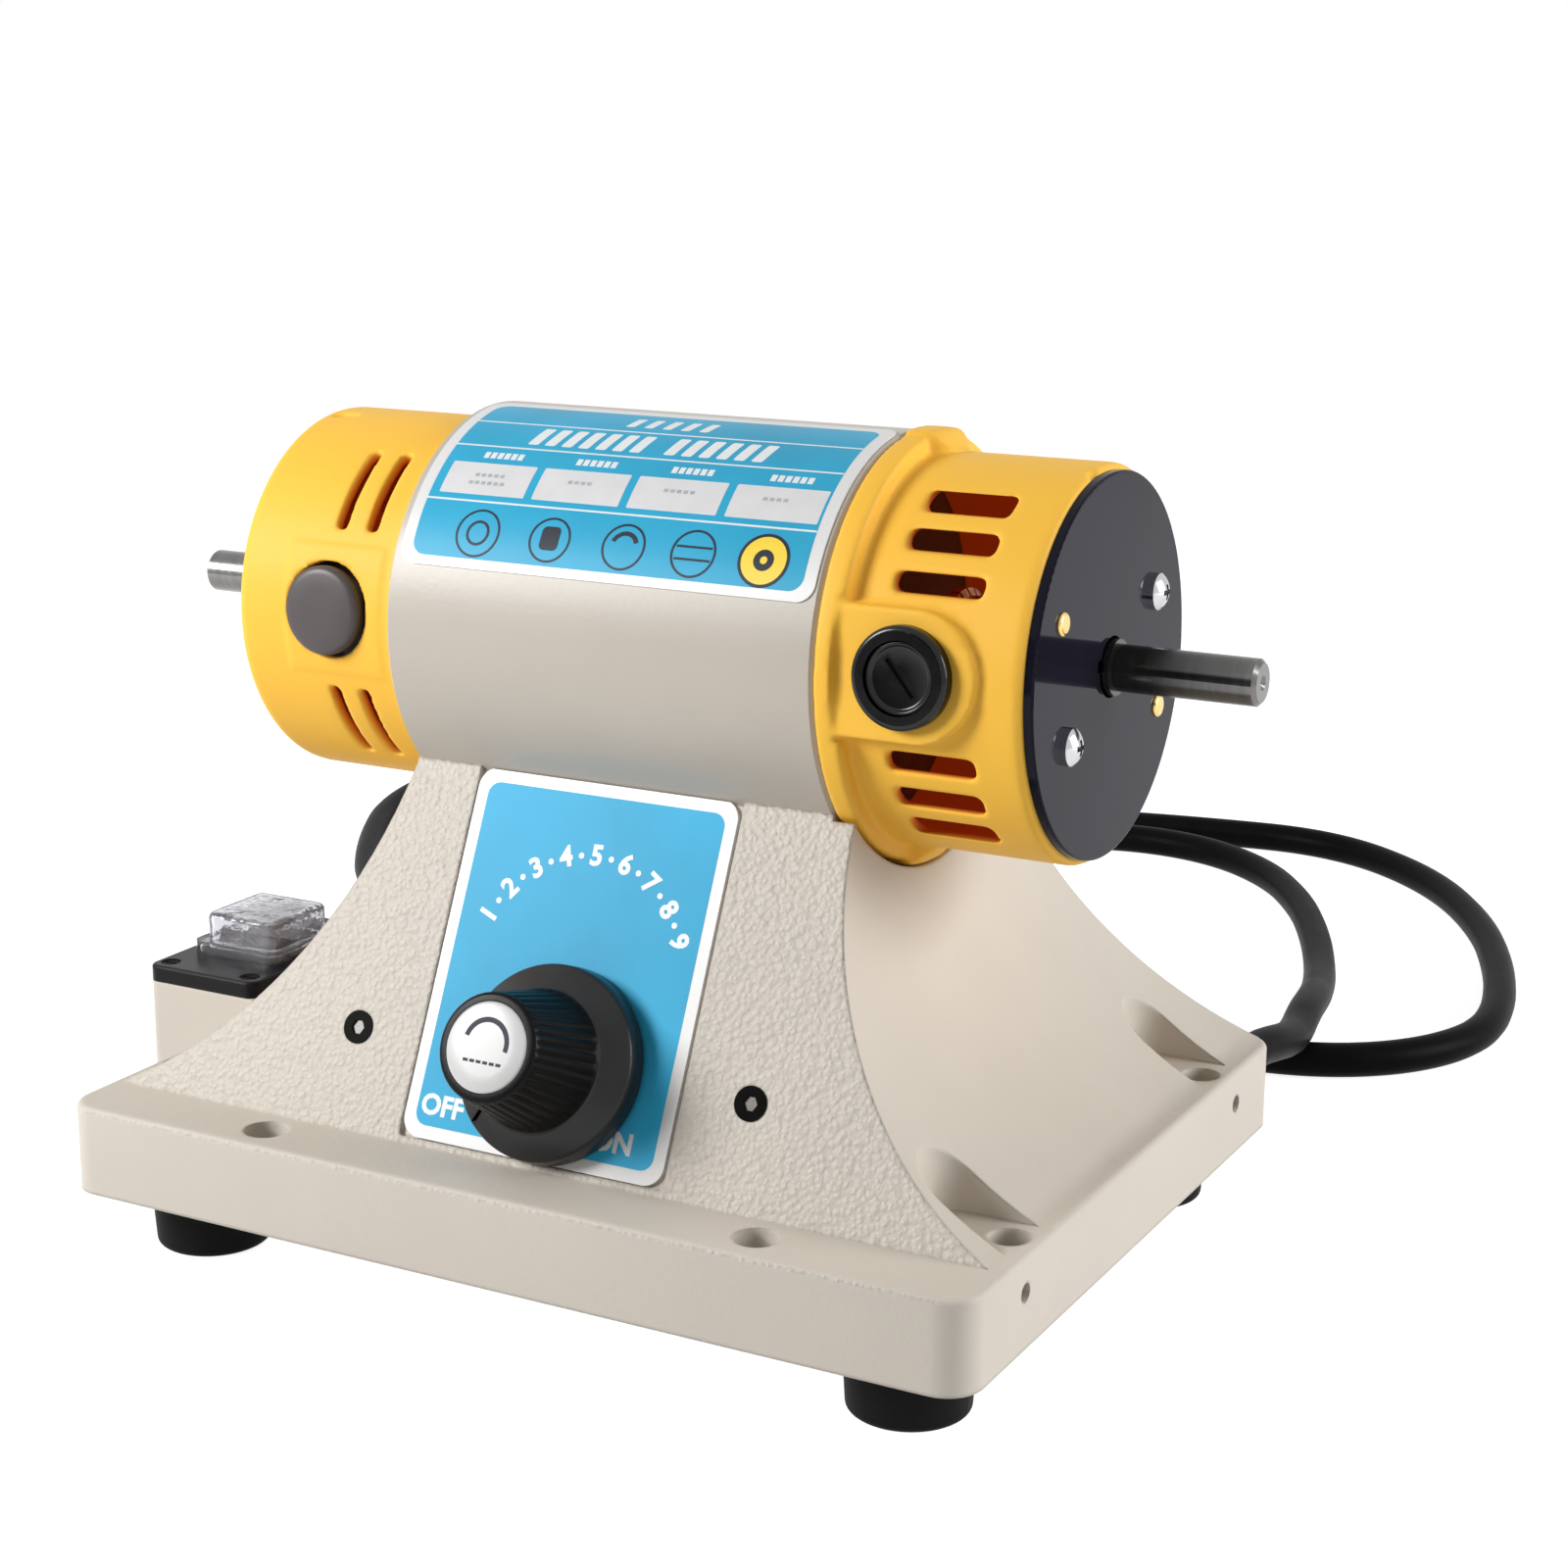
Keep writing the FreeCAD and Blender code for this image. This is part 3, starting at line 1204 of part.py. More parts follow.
def rocker_housing():
    """Black body of the switch: flange on the lid, body and blade terminals below."""
    pivot = rocker_pivot()
    flange = rounded_block(*housing_flange, 1.8, 1.5, box_x, box_y, lid_top)
    body = box(*around(box_x, housing_body[0]), *around(box_y, housing_body[1]),
               lid_top - housing_depth, lid_top)
    housing = joined(flange, body)
    well = Part.makeCylinder(rocker_reach + 0.3, rocker_width + 0.5,
                             V(box_x - rocker_width / 2 - 0.25, box_y, pivot.z), X_AXIS)
    housing = housing.cut(well)
    pin = Part.makeCylinder(1.5, housing_body[0], V(box_x - housing_body[0] / 2, box_y, pivot.z), X_AXIS)
    blades = [box(box_x + dx - 2.4, box_x + dx + 2.4, box_y + dy - 0.4, box_y + dy + 0.4,
                  lid_top - housing_depth - 6, lid_top - housing_depth + 1)
              for dx in (-5.5, 5.5) for dy in (-6, 6)]
    return joined(housing, pin, *blades)


def rocker():
    """Rocker, resting on its OFF side, with round ends about its hinge."""
    pivot = rocker_pivot()
    half = rocker_width / 2
    reach = rocker_reach
    profile = outline(
        V(box_x - half, box_y - reach, pivot.z - 2.5), V(box_x - half, box_y - reach, pivot.z + 6.2),
        V(box_x - half, box_y, pivot.z + 4.6), V(box_x - half, box_y + reach, pivot.z + 6.2),
        V(box_x - half, box_y + reach, pivot.z - 2.5))
    solid = profile.extrude(V(rocker_width, 0, 0))
    ends = Part.makeCylinder(reach, rocker_width, V(box_x - half, box_y, pivot.z), X_AXIS)
    solid = solid.common(ends)
    solid = solid.cut(Part.makeCylinder(1.55, rocker_width + 2, V(box_x - half - 1, box_y, pivot.z), X_AXIS))
    solid.rotate(pivot, X_AXIS, -rocker_tilt)
    return solid


def switch_boot():
    """Clear soft cover over the rocker: a flange and a raised block, open below."""
    wide, deep = boot_block
    flange = rounded_block(boot_width, boot_depth, boot_flange, 3.0, box_x, box_y, lid_top)
    block = rounded_block(wide, deep, boot_height - boot_flange + 1, 2.6, box_x, box_y,
                          lid_top + boot_flange - 1)
    boot = joined(flange, block)
    top = edges_where(boot, lambda p, e: level(e) and p.z > lid_top + boot_height - 0.01)
    boot = boot.makeFillet(1.6, top)
    seat = [size + 0.1 for size in housing_flange]
    boot = boot.cut(rounded_block(*seat, 1.9, 1.4, box_x, box_y, lid_top))
    hollow = rounded_block(wide - 2 * boot_wall, deep - 2 * boot_wall, boot_height - boot_wall,
                           1.5, box_x, box_y, lid_top)
    return boot.cut(hollow)


# ---------------------------------------------------------------- electronics inside the base
board_z = plate_bottom + cover_thickness + 8.0
board_size = (70.0, 46.0)
board_place = (-18.0, -8.0)


def board_corners():
    """Middles of the standoffs."""
    return [(board_place[0] + sx * (board_size[0] / 2 - 4), board_place[1] + sy * (board_size[1] / 2 - 4))
            for sx in (-1, 1) for sy in (-1, 1)]


def speed_board():
    """Circuit board of the speed control."""
    x, y = board_place
    board = rounded_block(board_size[0], board_size[1], 1.6, 1.5, x, y, board_z)
    for cx, cy in board_corners():
        board = board.cut(rod(1.5, 0, axis_z, cx, cy))
    return board


def board_standoffs():
    """Round spacers between the cover and the board."""
    posts = []
    for x, y in board_corners():
        posts.append(rod(3.0, plate_bottom + cover_thickness, board_z, x, y).cut(rod(1.5, 0, 90, x, y)))
    return group(*posts)


def board_screws():
    """Screws down through the board into the cover."""
    screws = []
    for x, y in board_corners():
        screw = pan_screw(1.5, 2.7, board_z + 1.6 - plate_bottom - cover_thickness, 1.8, cross=False)
        screw.translate(V(x, y, board_z + 1.6))
        screws.append(screw)
    return group(*screws)


def board_capacitor():
    """Lying round capacitor on the board."""
    x, y = board_place
    can = Part.makeCylinder(6.5, 22, V(x - 24, y + 9, board_z + 1.6 + 6.5), X_AXIS)
    return can.makeFillet(0.8, can.Edges[0:1] + can.Edges[2:3])


def heat_sink():
    """Finned aluminium block with the power switch on it."""
    x, y = board_place
    z = board_z + 1.6
    base = box(x + 8, x + 28, y + 4, y + 7, z, z + 24)
    fins = [box(x + 8 + 4.6 * k, x + 9.6 + 4.6 * k, y + 6.5, y + 16, z, z + 24) for k in range(5)]
    return joined(base, *fins)


def triac():
    """Flat power switch against the heat sink."""
    x, y = board_place
    z = board_z + 1.6
    return box(x + 13, x + 23, y - 0.5, y + 4, z + 3, z + 18).fuse(
        box(x + 17, x + 19, y + 1, y + 2, z, z + 3.5))


def terminal_block():
    """Row of screw terminals at the edge of the board."""
    x, y = board_place
    z = board_z + 1.6
    block = box(x - 16, x + 16, y - 20, y - 10, z, z + 10)
    for k in range(4):
        cx = x - 12 + 8 * k
        block = block.cut(rod(2.2, z + 7, z + 12, cx, y - 15))
        block = block.cut(box(cx - 2, cx + 2, y - 21, y - 17, z + 2, z + 6))
    return block


# ---------------------------------------------------------------- cord
def cord_path(points):
    """Straight runs joined by tangent arcs, each as large as its two runs allow."""
    edges = []
    here = points[0]
    radii = []
    for before, corner, after in zip(points, points[1:], points[2:]):
        back = (before - corner)
        ahead = (after - corner)
        reach = 0.45 * min(back.Length, ahead.Length)
        start = corner + back.normalize() * reach
        end = corner + ahead.normalize() * reach
        half_turn = (math.pi - back.getAngle(ahead)) / 2
        radius = reach / math.tan(half_turn)
        radii.append(radius)
        bisector = (back + ahead).normalize()
        gap = radius / math.cos(half_turn) - radius
        edges.append(Part.LineSegment(here, start).toShape())
        edges.append(Part.Arc(start, corner + bisector * gap, end).toShape())
        here = end
    edges.append(Part.LineSegment(here, points[-1]).toShape())
    return Part.Wire(edges), radii


def power_cord():
    """Free cord from the strain relief to the plug, lying in loose turns behind the machine."""
    path, radii = cord_path(cord_points)
    heading = cord_points[1] - cord_points[0]
    section = Part.Wire(Part.makeCircle(cord_radius, cord_points[0], heading))
    tube = path.makePipeShell([section], True, False)
    expected = math.pi * cord_radius ** 2 * path.Length
    print("cord radii", " ".join("%.0f" % radius for radius in radii))
    print("cord length %.0f, volume over expected %.4f" % (path.Length, tube.Volume / expected))
    return tube


def strain_relief():
    """Tapered rubber sleeve in the rear of the plate, ringed so that it bends with the cord."""
    lip = relief_flange
    profile = outline(
        V(0, -relief_depth, 0), V(relief_tip, -relief_depth, 0), V(relief_tip, 0, 0), V(lip, 0, 0),
        V(lip, 1.6, 0), V(relief_root, 2.2, 0), V(relief_tip, relief_length, 0), V(0, relief_length, 0))
    sleeve = profile.revolve(V(0, 0, 0), V(0, 1, 0), 360)
    count = 3
    pitch = (relief_length - 5.0) / count
    for k in range(count):
        y = 3.6 + pitch * k
        ring = Part.makeCylinder(20, 1.4, V(0, y, 0), V(0, 1, 0))
        ring = ring.cut(Part.makeCylinder(relief_tip - 0.5, 1.4, V(0, y, 0), V(0, 1, 0)))
        bridge = box(-1.4, 1.4, y - 1, y + 3, -20, 20)
        if k % 2:
            bridge = box(-20, 20, y - 1, y + 3, -1.4, 1.4)
        sleeve = sleeve.cut(ring.cut(bridge))
    sleeve.translate(cord_exit)
    return sleeve


def plug_parts():
    """Moulded two-pin plug at the end of the cord, lying flat, and its pins."""
    end = cord_points[-1]
    heading = end - cord_points[-2]
    tail = Part.makeCone(cord_radius + 1.4, plug_thickness / 2, plug_tail + 1, V(0, 0, 0))
    body = rounded_block(plug_width, plug_thickness, plug_length - plug_tail, plug_thickness * 0.45,
                         z=plug_tail)
    body = body.makeFillet(1.6, edges_where(body, lambda p, e: level(e)))
    pins = []
    for side in (-1, 1):
        pin = rod(plug_pin, plug_length, plug_length + plug_pin_length, side * plug_pin_spread, 0)
        pin = pin.makeFillet(1.2, edges_where(pin, lambda p, e: e.Closed and p.z > plug_length + 1))
        pins.append(pin)
    turn = FreeCAD.Rotation(heading.cross(Z_AXIS), Z_AXIS, heading, "ZXY")
    whole = [joined(tail, body), group(*pins)]
    for shape in whole:
        shape.Placement = FreeCAD.Placement(end, turn)
    return whole


# ---------------------------------------------------------------- the whole machine
def build():
    """Every node by name."""
    holders, caps, carbons, springs = brush_parts()
    right_outer, right_inner, right_balls = bearing(disc_back - bearing_width)
    left_outer, left_inner, left_balls = bearing(left_end + cap_end_wall)
    pot, pot_nut = pot_parts()
    guide, button = lock_parts()
    plug, plug_pins = plug_parts()
    return {
        "base_casting": base_casting(),
        "base_cover": base_cover(),
        "base_cover_screws": base_cover_screws(),
        "rubber_feet": group(*[rubber_foot(x, y) for x, y in corner_places(foot_x, foot_y)]),
        "foot_screws": foot_screws(),
        "saddle_bolts": saddle_bolts(),
        "panel_plate": panel_plate(),
        "face_screws": face_screws(),
        "speed_knob": speed_knob(),
        "knob_cap": knob_cap(),
        "pot_spindle": pot_spindle(),
        "pot_body": pot,
        "pot_nut": pot_nut,
        "motor_tube": motor_tube(),
        "data_plate": data_plate(),
        "left_end_cap": left_end_cap(),
        "right_end_cap": right_end_cap(),
        "cap_screws": cap_screws(),
        "end_disc": end_disc(),
        "disc_screws": disc_screws(),
        "disc_pins": disc_pins(),
        "stator_core": stator_core(),
        "field_coils": field_coils(),
        "brush_holders": holders,
        "brush_caps": caps,
        "carbon_brushes": carbons,
        "brush_springs": springs,
        "spindle_shaft": spindle_shaft(),
        "armature_core": armature_core(),
        "armature_windings": armature_windings(),
        "winding_sleeve": winding_leads(),
        "commutator": commutator(),
        "cooling_fan": cooling_fan(),
        "lock_collar": lock_collar_piece(),
        "bearing_outer_rings": group(left_outer, right_outer),
        "bearing_inner_rings": group(left_inner, right_inner),
        "bearing_balls": group(*left_balls, *right_balls),
        "lock_guide": guide,
        "lock_button": button,
        "lock_spring": lock_spring(),
        "switch_box": switch_box(),
        "switch_lid": switch_lid(),
        "lid_screws": lid_screws(),
        "switch_box_screws": switch_box_screws(),
        "rocker_housing": rocker_housing(),
        "rocker": rocker(),
        "switch_boot": switch_boot(),
        "speed_board": speed_board(),
        "board_standoffs": board_standoffs(),
        "board_screws": board_screws(),
        "board_capacitor": board_capacitor(),
        "heat_sink": heat_sink(),
        "triac": triac(),
        "terminal_block": terminal_block(),
        "strain_relief": strain_relief(),
        "power_cord": power_cord(),
        "mains_plug": plug,
        "plug_pins": plug_pins,
    }


cord_nodes = ("strain_relief", "power_cord", "mains_plug", "plug_pins")


def main():
    """Build, centre and write the nodes."""
    os.makedirs("parts", exist_ok=True)
    nodes = build()
    extent = FreeCAD.BoundBox()
    for name, shape in nodes.items():
        if name not in cord_nodes:
            extent.add(shape.optimalBoundingBox(False))
    shift = V(-extent.Center.x, -extent.Center.y, 0)
    for name, shape in nodes.items():
        shape.translate(shift)
        shape.exportStep("parts/%s.step" % name)
        valid = shape.isValid()
        if not valid or shape.Volume <= 0:
            print("CHECK", name, "valid", valid, "volume", round(shape.Volume, 2))
    print("shift %.3f %.3f, axis height %.2f, extent %s" % (shift.x, shift.y, axis_z, extent))


main()
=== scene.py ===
import bpy
import math
from mathutils import Matrix, Vector


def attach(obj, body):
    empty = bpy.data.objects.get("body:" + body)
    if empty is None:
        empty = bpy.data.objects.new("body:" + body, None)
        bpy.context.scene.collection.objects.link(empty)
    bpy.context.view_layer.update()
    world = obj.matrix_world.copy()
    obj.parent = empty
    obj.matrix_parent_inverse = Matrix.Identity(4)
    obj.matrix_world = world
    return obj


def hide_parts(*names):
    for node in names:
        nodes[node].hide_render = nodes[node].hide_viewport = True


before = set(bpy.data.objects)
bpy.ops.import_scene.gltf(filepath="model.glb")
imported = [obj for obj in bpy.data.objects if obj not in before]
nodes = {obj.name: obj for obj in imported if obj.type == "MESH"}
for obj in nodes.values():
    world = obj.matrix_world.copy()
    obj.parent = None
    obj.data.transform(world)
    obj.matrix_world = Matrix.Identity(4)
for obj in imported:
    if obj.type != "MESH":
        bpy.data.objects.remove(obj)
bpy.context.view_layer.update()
scene = bpy.context.scene
scene.view_settings.view_transform = "Standard"

# ---------------------------------------------------------------- camera
# A portrait lens on a camera that stands in front of the machine, right of its middle and a
# little above it. It looks down to the left.
camera = bpy.data.objects.new("camera", bpy.data.cameras.new("camera"))
scene.collection.objects.link(camera)
scene.camera = camera
camera.data.sensor_width = 36.0
camera.data.lens = 65.93
camera.data.clip_start = 0.01
camera_place = Vector((0.326715, -0.546983, 0.2653))
turn_left, look_down, roll = -0.4954703, -0.2469856, 0.0042812
ahead = Vector((math.sin(turn_left) * math.cos(look_down), math.cos(turn_left) * math.cos(look_down),
                math.sin(look_down)))
level = Vector((math.cos(turn_left), -math.sin(turn_left), 0.0))
upright = level.cross(ahead)
right = math.cos(roll) * level + math.sin(roll) * upright
up = math.cos(roll) * upright - math.sin(roll) * level
camera.matrix_world = Matrix.Translation(camera_place) @ Matrix((right, up, -ahead)).transposed().to_4x4()

# ---------------------------------------------------------------- mains cord
# A black PVC lead leaves the rear edge of the plate through its sleeve and lies on the table in
# loose turns, over itself once. It ends in a moulded two-pin plug.
MM = 0.001
MIDDLE = Vector((5.375, 2.027, 0.0)) * MM      # middle of the base plate, on the table


def feed(tree, node, inputs):
    """Give inputs of a shader node a number, a colour or the output of another node."""
    for name, value in inputs.items():
        if isinstance(value, bpy.types.NodeSocket):
            tree.links.new(value, node.inputs[name])
        else:
            node.inputs[name].default_value = value


def add(tree, kind, inputs, **settings):
    """Add a shader node with its settings and inputs."""
    node = tree.nodes.new("ShaderNode" + kind)
    for name, setting in settings.items():
        setattr(node, name, setting)
    feed(tree, node, inputs)
    return node


def surface(name, color, roughness, metallic=0.0, mottle=0.05, patch=20.0, grain=0.02, grain_size=0.5,
            stretch=(1.0, 1.0, 1.0), uneven=0.05, specular=0.5):
    """Finish with a colour that drifts a little, uneven gloss and a fine grain. Patch and grain
    sizes and the depth of the grain are in millimetres."""
    material = bpy.data.materials.new(name)
    material.use_nodes = True
    tree = material.node_tree
    place = add(tree, "TexCoord", {})
    scaled = add(tree, "Mapping", {"Vector": place.outputs["Object"], "Scale": stretch})
    drift = add(tree, "TexNoise", {
        "Vector": scaled.outputs["Vector"], "Scale": 1000.0 / patch, "Detail": 5.0})
    tint = add(tree, "ValToRGB", {"Fac": drift.outputs["Fac"]})
    darker, lighter = tint.color_ramp.elements
    darker.position = 0.3
    darker.color = [max(0.0, c * (1.0 - mottle)) for c in color] + [1.0]
    lighter.position = 0.7
    lighter.color = [min(1.0, c * (1.0 + mottle)) for c in color] + [1.0]
    gloss = add(tree, "MapRange", {
        "Value": drift.outputs["Fac"], "To Min": max(0.02, roughness - uneven),
        "To Max": min(1.0, roughness + uneven)})
    fine = add(tree, "TexNoise", {
        "Vector": scaled.outputs["Vector"], "Scale": 1000.0 / grain_size, "Detail": 3.0})
    relief = add(tree, "Bump", {"Height": fine.outputs["Fac"], "Distance": grain * MM})
    feed(tree, tree.nodes["Principled BSDF"], {
        "Base Color": tint.outputs["Color"], "Metallic": metallic, "Roughness": gloss.outputs["Result"],
        "Specular IOR Level": specular, "Normal": relief.outputs["Normal"]})
    return material


def dress(material, *names):
    """Give carried-over nodes their finish."""
    for name in names:
        for slot in nodes[name].material_slots:
            slot.material = material


cord_radius = 4.7
cord_bends = [
    (99.0, 104.6, 22.9), (99.0, 113.8, 22.9), (99.8, 125.0, 21.2), (99.4, 137.5, 18.2),
    (97.4, 151.0, 15.6), (93.6, 170.5, 15.6), (89.6, 190.0, 12.6), (84.0, 212.0, 8.2),
    (76.0, 239.0, 4.8), (64.4, 270.0, 4.8), (48.6, 303.0, 4.8), (27.0, 333.0, 4.8),
    (-3.0, 352.0, 4.8), (-37.0, 352.0, 4.8), (-69.0, 331.5, 4.8), (-93.0, 297.0, 4.8),
    (-104.0, 256.0, 4.8), (-96.0, 216.0, 4.8), (-69.0, 186.0, 4.8), (-32.0, 168.0, 4.8),
    (6.0, 160.0, 4.8), (42.0, 157.4, 4.8), (71.0, 158.2, 4.8), (96.3, 160.8, 4.8),
    (117.3, 173.4, 4.8), (130.6, 193.9, 4.8), (133.6, 218.2, 4.8), (125.0, 258.0, 4.8),
    (106.0, 307.5, 4.8), (76.0, 352.0, 4.8), (35.0, 379.5, 4.8), (-11.0, 374.0, 4.8),
    (-59.0, 362.5, 4.8), (-110.0, 368.0, 4.8), (-163.0, 378.0, 4.8), (-217.0, 372.0, 4.8),
    (-262.0, 346.0, 4.8), (-284.0, 304.0, 4.8), (-277.0, 260.0, 4.8), (-256.0, 221.0, 4.8),
    (-229.0, 182.0, 4.8), (-199.0, 158.0, 7.4), (-167.0, 148.0, 7.4),
]
cord_line = bpy.data.curves.new("mains_lead", "CURVE")
cord_line.dimensions = "3D"
cord_line.bevel_depth = cord_radius * MM
cord_line.bevel_resolution = 7
cord_line.resolution_u = 12
cord_line.use_fill_caps = True
run = cord_line.splines.new("NURBS")
run.points.add(len(cord_bends) - 1)
for point, bend in zip(run.points, cord_bends):
    point.co = (*(Vector(bend) * MM + MIDDLE), 1.0)
run.order_u = 3
run.use_endpoint_u = True
lead = bpy.data.objects.new("mains_lead", cord_line)
scene.collection.objects.link(lead)
black_pvc = surface("black_pvc", (0.004, 0.004, 0.0045), 0.42, mottle=0.2, patch=9.0, grain=0.05,
                    grain_size=1.6, specular=0.03)
cord_line.materials.append(black_pvc)
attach(lead, "machine")
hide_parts("power_cord")
dress(black_pvc, "strain_relief", "mains_plug")

# ---------------------------------------------------------------- base casting
# Plate and pedestal are one light-metal casting. It is sprayed warm grey: a coarse leather-like
# coat on the front, the rear and the edge of the plate, and a smooth one on the hollow flanks.
FACE_LEAN = math.radians(24.958)
FACE_FOOT = Vector((0.0, -71.3, 36.1))         # lower edge of the slanted face, at its middle


def times(tree, first, second):
    """Product of two values in a shader."""
    return add(tree, "Math", {0: first, 1: second}, operation="MULTIPLY").outputs["Value"]


def round_edges(material, radius):
    """Let the light play on the edges of a finish as if they were rounded."""
    tree = material.node_tree
    rounding = add(tree, "Bevel", {"Radius": radius * MM})
    feed(tree, tree.nodes["Bump"], {"Normal": rounding.outputs["Normal"]})


coat = surface("leather_coat", (0.595, 0.543, 0.474), 0.5, mottle=0.03, patch=35.0, grain=0.03,
               grain_size=0.5, specular=0.4)
round_edges(coat, 1.3)
tree = coat.node_tree
place = tree.nodes["Texture Coordinate"].outputs["Object"]
wander = add(tree, "TexNoise", {"Vector": place, "Scale": 900.0, "Detail": 2.0})
push = add(tree, "VectorMath", {0: wander.outputs["Color"], 1: (0.0012, 0.0012, 0.0012), 2: place},
           operation="MULTIPLY_ADD")
cells = add(tree, "TexVoronoi", {"Vector": push.outputs["Vector"], "Scale": 790.0, "Smoothness": 0.6},
            feature="SMOOTH_F1")
# The leather pattern is deep on upright and level faces, weaker on the slanted ones and the flanks.
facing = add(tree, "NewGeometry", {}).outputs["True Normal"]
split = add(tree, "SeparateXYZ", {"Vector": facing})
sideways = add(tree, "Math", {0: split.outputs["X"]}, operation="ABSOLUTE")
coarse = add(tree, "MapRange", {
    "Value": sideways.outputs["Value"], "From Min": 0.25, "From Max": 0.6, "To Min": 1.0, "To Max": 0.1})
slope = add(tree, "VectorMath", {0: facing}, operation="ABSOLUTE")
slanted = add(tree, "VectorMath", {0: slope.outputs["Vector"], 1: (0.0, 0.907, 0.422)},
              operation="DOT_PRODUCT")
on_slope = add(tree, "MapRange", {
    "Value": slanted.outputs["Value"], "From Min": 0.93, "From Max": 0.99, "To Min": 0.15})
depth = times(tree, cells.outputs["Distance"], times(tree, coarse.outputs["Result"],
                                                     on_slope.outputs["Result"]))
leather = add(tree, "Bump", {
    "Height": depth, "Normal": tree.nodes["Bump"].outputs["Normal"], "Distance": 0.26 * MM}, invert=True)
# The valleys of the grain are painted darker than its tops: painted shade.
painted_valley_shade = add(tree, "MapRange", {
    "Value": depth, "From Min": 0.15, "From Max": 0.75, "To Min": 1.03, "To Max": 0.9})
shade = add(tree, "VectorMath", {
    0: tree.nodes["Color Ramp"].outputs["Color"], "Scale": painted_valley_shade.outputs["Result"]}, operation="SCALE")
feed(tree, tree.nodes["Principled BSDF"], {
    "Base Color": shade.outputs["Vector"], "Normal": leather.outputs["Normal"]})


def only(piece):
    """Make one piece the only one selected."""
    bpy.ops.object.select_all(action="DESELECT")
    piece.select_set(True)
    bpy.context.view_layer.objects.active = piece


def opened(piece):
    """Open a piece in edit mode, with all of it selected."""
    only(piece)
    bpy.ops.object.mode_set(mode="EDIT")
    bpy.ops.mesh.select_all(action="SELECT")


def finished(piece, name, material, body, smooth=30.0):
    """Name, shade and colour a piece and let it ride on its body."""
    only(piece)
    piece.name = name
    piece.data.name = name
    bpy.ops.object.shade_smooth_by_angle(angle=math.radians(smooth))
    piece.data.materials.clear()
    piece.data.materials.append(material)
    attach(piece, body)


def likeness(name):
    """Copy of a solid with its seams closed, to be worked on."""
    piece = nodes[name].copy()
    piece.data = nodes[name].data.copy()
    scene.collection.objects.link(piece)
    opened(piece)
    bpy.ops.mesh.customdata_custom_splitnormals_clear()
    bpy.ops.mesh.remove_doubles(threshold=0.000002)
    bpy.ops.object.mode_set(mode="OBJECT")
    return piece


def on_face(across, rise, out=0.0):
    """Place on the slanted front face, in millimetres across, up and out of it."""
    spot = FACE_FOOT + Vector((across, rise * math.sin(FACE_LEAN) - out * math.cos(FACE_LEAN),
                               rise * math.cos(FACE_LEAN) + out * math.sin(FACE_LEAN)))
    return Matrix.Translation(spot * MM + MIDDLE) @ Matrix.Rotation(math.pi / 2 - FACE_LEAN, 4, "X")


# The recess of the panel is milled close round it, with nearly square corners. Only the corners
# of the solid's own recess are moved.
PANEL_ACROSS = 0.7                             # middle of the panel, across the face
recess_left, recess_right, recess_foot = -32.5, 34.5, 2.7
recess_corner = 1.2                            # its new radius at the foot
wide_corner = (28.4, 6.8)                      # middle of the solid's own rounding
casting = likeness("base_casting")
flat_face = on_face(0.0, 0.0)
for corner in casting.data.vertices:
    spot = flat_face.inverted() @ corner.co / MM
    at_foot, at_top = 0.1 < spot.y < 7.0, 82.0 < spot.y < 86.0
    at_side = -35.0 < spot.x < 36.5 and abs(spot.x - PANEL_ACROSS) > 26.0
    if -1.4 < spot.z < 0.1 and at_side and (at_foot or at_top):
        side = 1 if spot.x > PANEL_ACROSS else -1
        edge = recess_right if side > 0 else recess_left
        if at_foot:
            turn = math.atan2(spot.y - wide_corner[1], spot.x - (PANEL_ACROSS + side * wide_corner[0]))
            spot.x = edge - side * recess_corner + recess_corner * math.cos(turn)
            spot.y = recess_foot + recess_corner * math.sin(turn)
        else:
            spot.x = edge
        corner.co = flat_face @ (spot * MM)
finished(casting, "base_casting_coated", coat, "machine")
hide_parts("base_casting")

# ---------------------------------------------------------------- face screws
# Two black steel socket screws sit in the slanted face, one at each side of the panel. Their flat
# round heads cover the mouths of the holes, and the bottoms of the sockets are lighter: partly wear,
# partly a painted highlight.
SPINDLE_RISE = 22.8                            # of the spindle of the speed control, up the face
head_width = 1.1                               # times that of the solid
head_top, socket_floor = 0.3, -0.2             # out of the face
black_steel = surface("black_steel", (0.004, 0.0035, 0.003), 0.3, mottle=0.3, patch=2.0, grain=0.004,
                      grain_size=0.3, uneven=0.04, specular=0.015)
worn_and_highlight_steel = surface("worn_and_highlight_steel", (0.14, 0.125, 0.11), 0.28, mottle=0.2, patch=1.0, grain=0.01,
                     grain_size=0.3, specular=0.5)
face_screws = likeness("face_screws")
screw_places = (on_face(-49.1, SPINDLE_RISE), on_face(50.5, SPINDLE_RISE))
for corner in face_screws.data.vertices:
    for place in screw_places:
        spot = place.inverted() @ corner.co / MM
        if 2.3 < math.hypot(spot.x, spot.y) < 4.0 and spot.z > -3.6:
            corner.co = place @ (Vector((spot.x * head_width, spot.y * head_width, spot.z)) * MM)
        spot = place.inverted() @ corner.co / MM
        if math.hypot(spot.x, spot.y) < 5.0 and -0.7 < spot.z < 0.0:
            corner.co = place @ (Vector((spot.x, spot.y, head_top)) * MM)
        elif math.hypot(spot.x, spot.y) < 1.9 and -3.35 < spot.z < -0.7:
            corner.co = place @ (Vector((spot.x, spot.y, socket_floor)) * MM)
finished(face_screws, "face_screws_seated", black_steel, "machine")
# The socket floors take the lighter steel: partly wear, partly a painted highlight.
face_screws.data.materials.append(worn_and_highlight_steel)
for side in face_screws.data.polygons:
    for place in screw_places:
        spot = place.inverted() @ side.center / MM
        if math.hypot(spot.x, spot.y) < 1.2 and abs(spot.z - socket_floor) < 0.1:
            side.material_index = 1
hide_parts("face_screws")

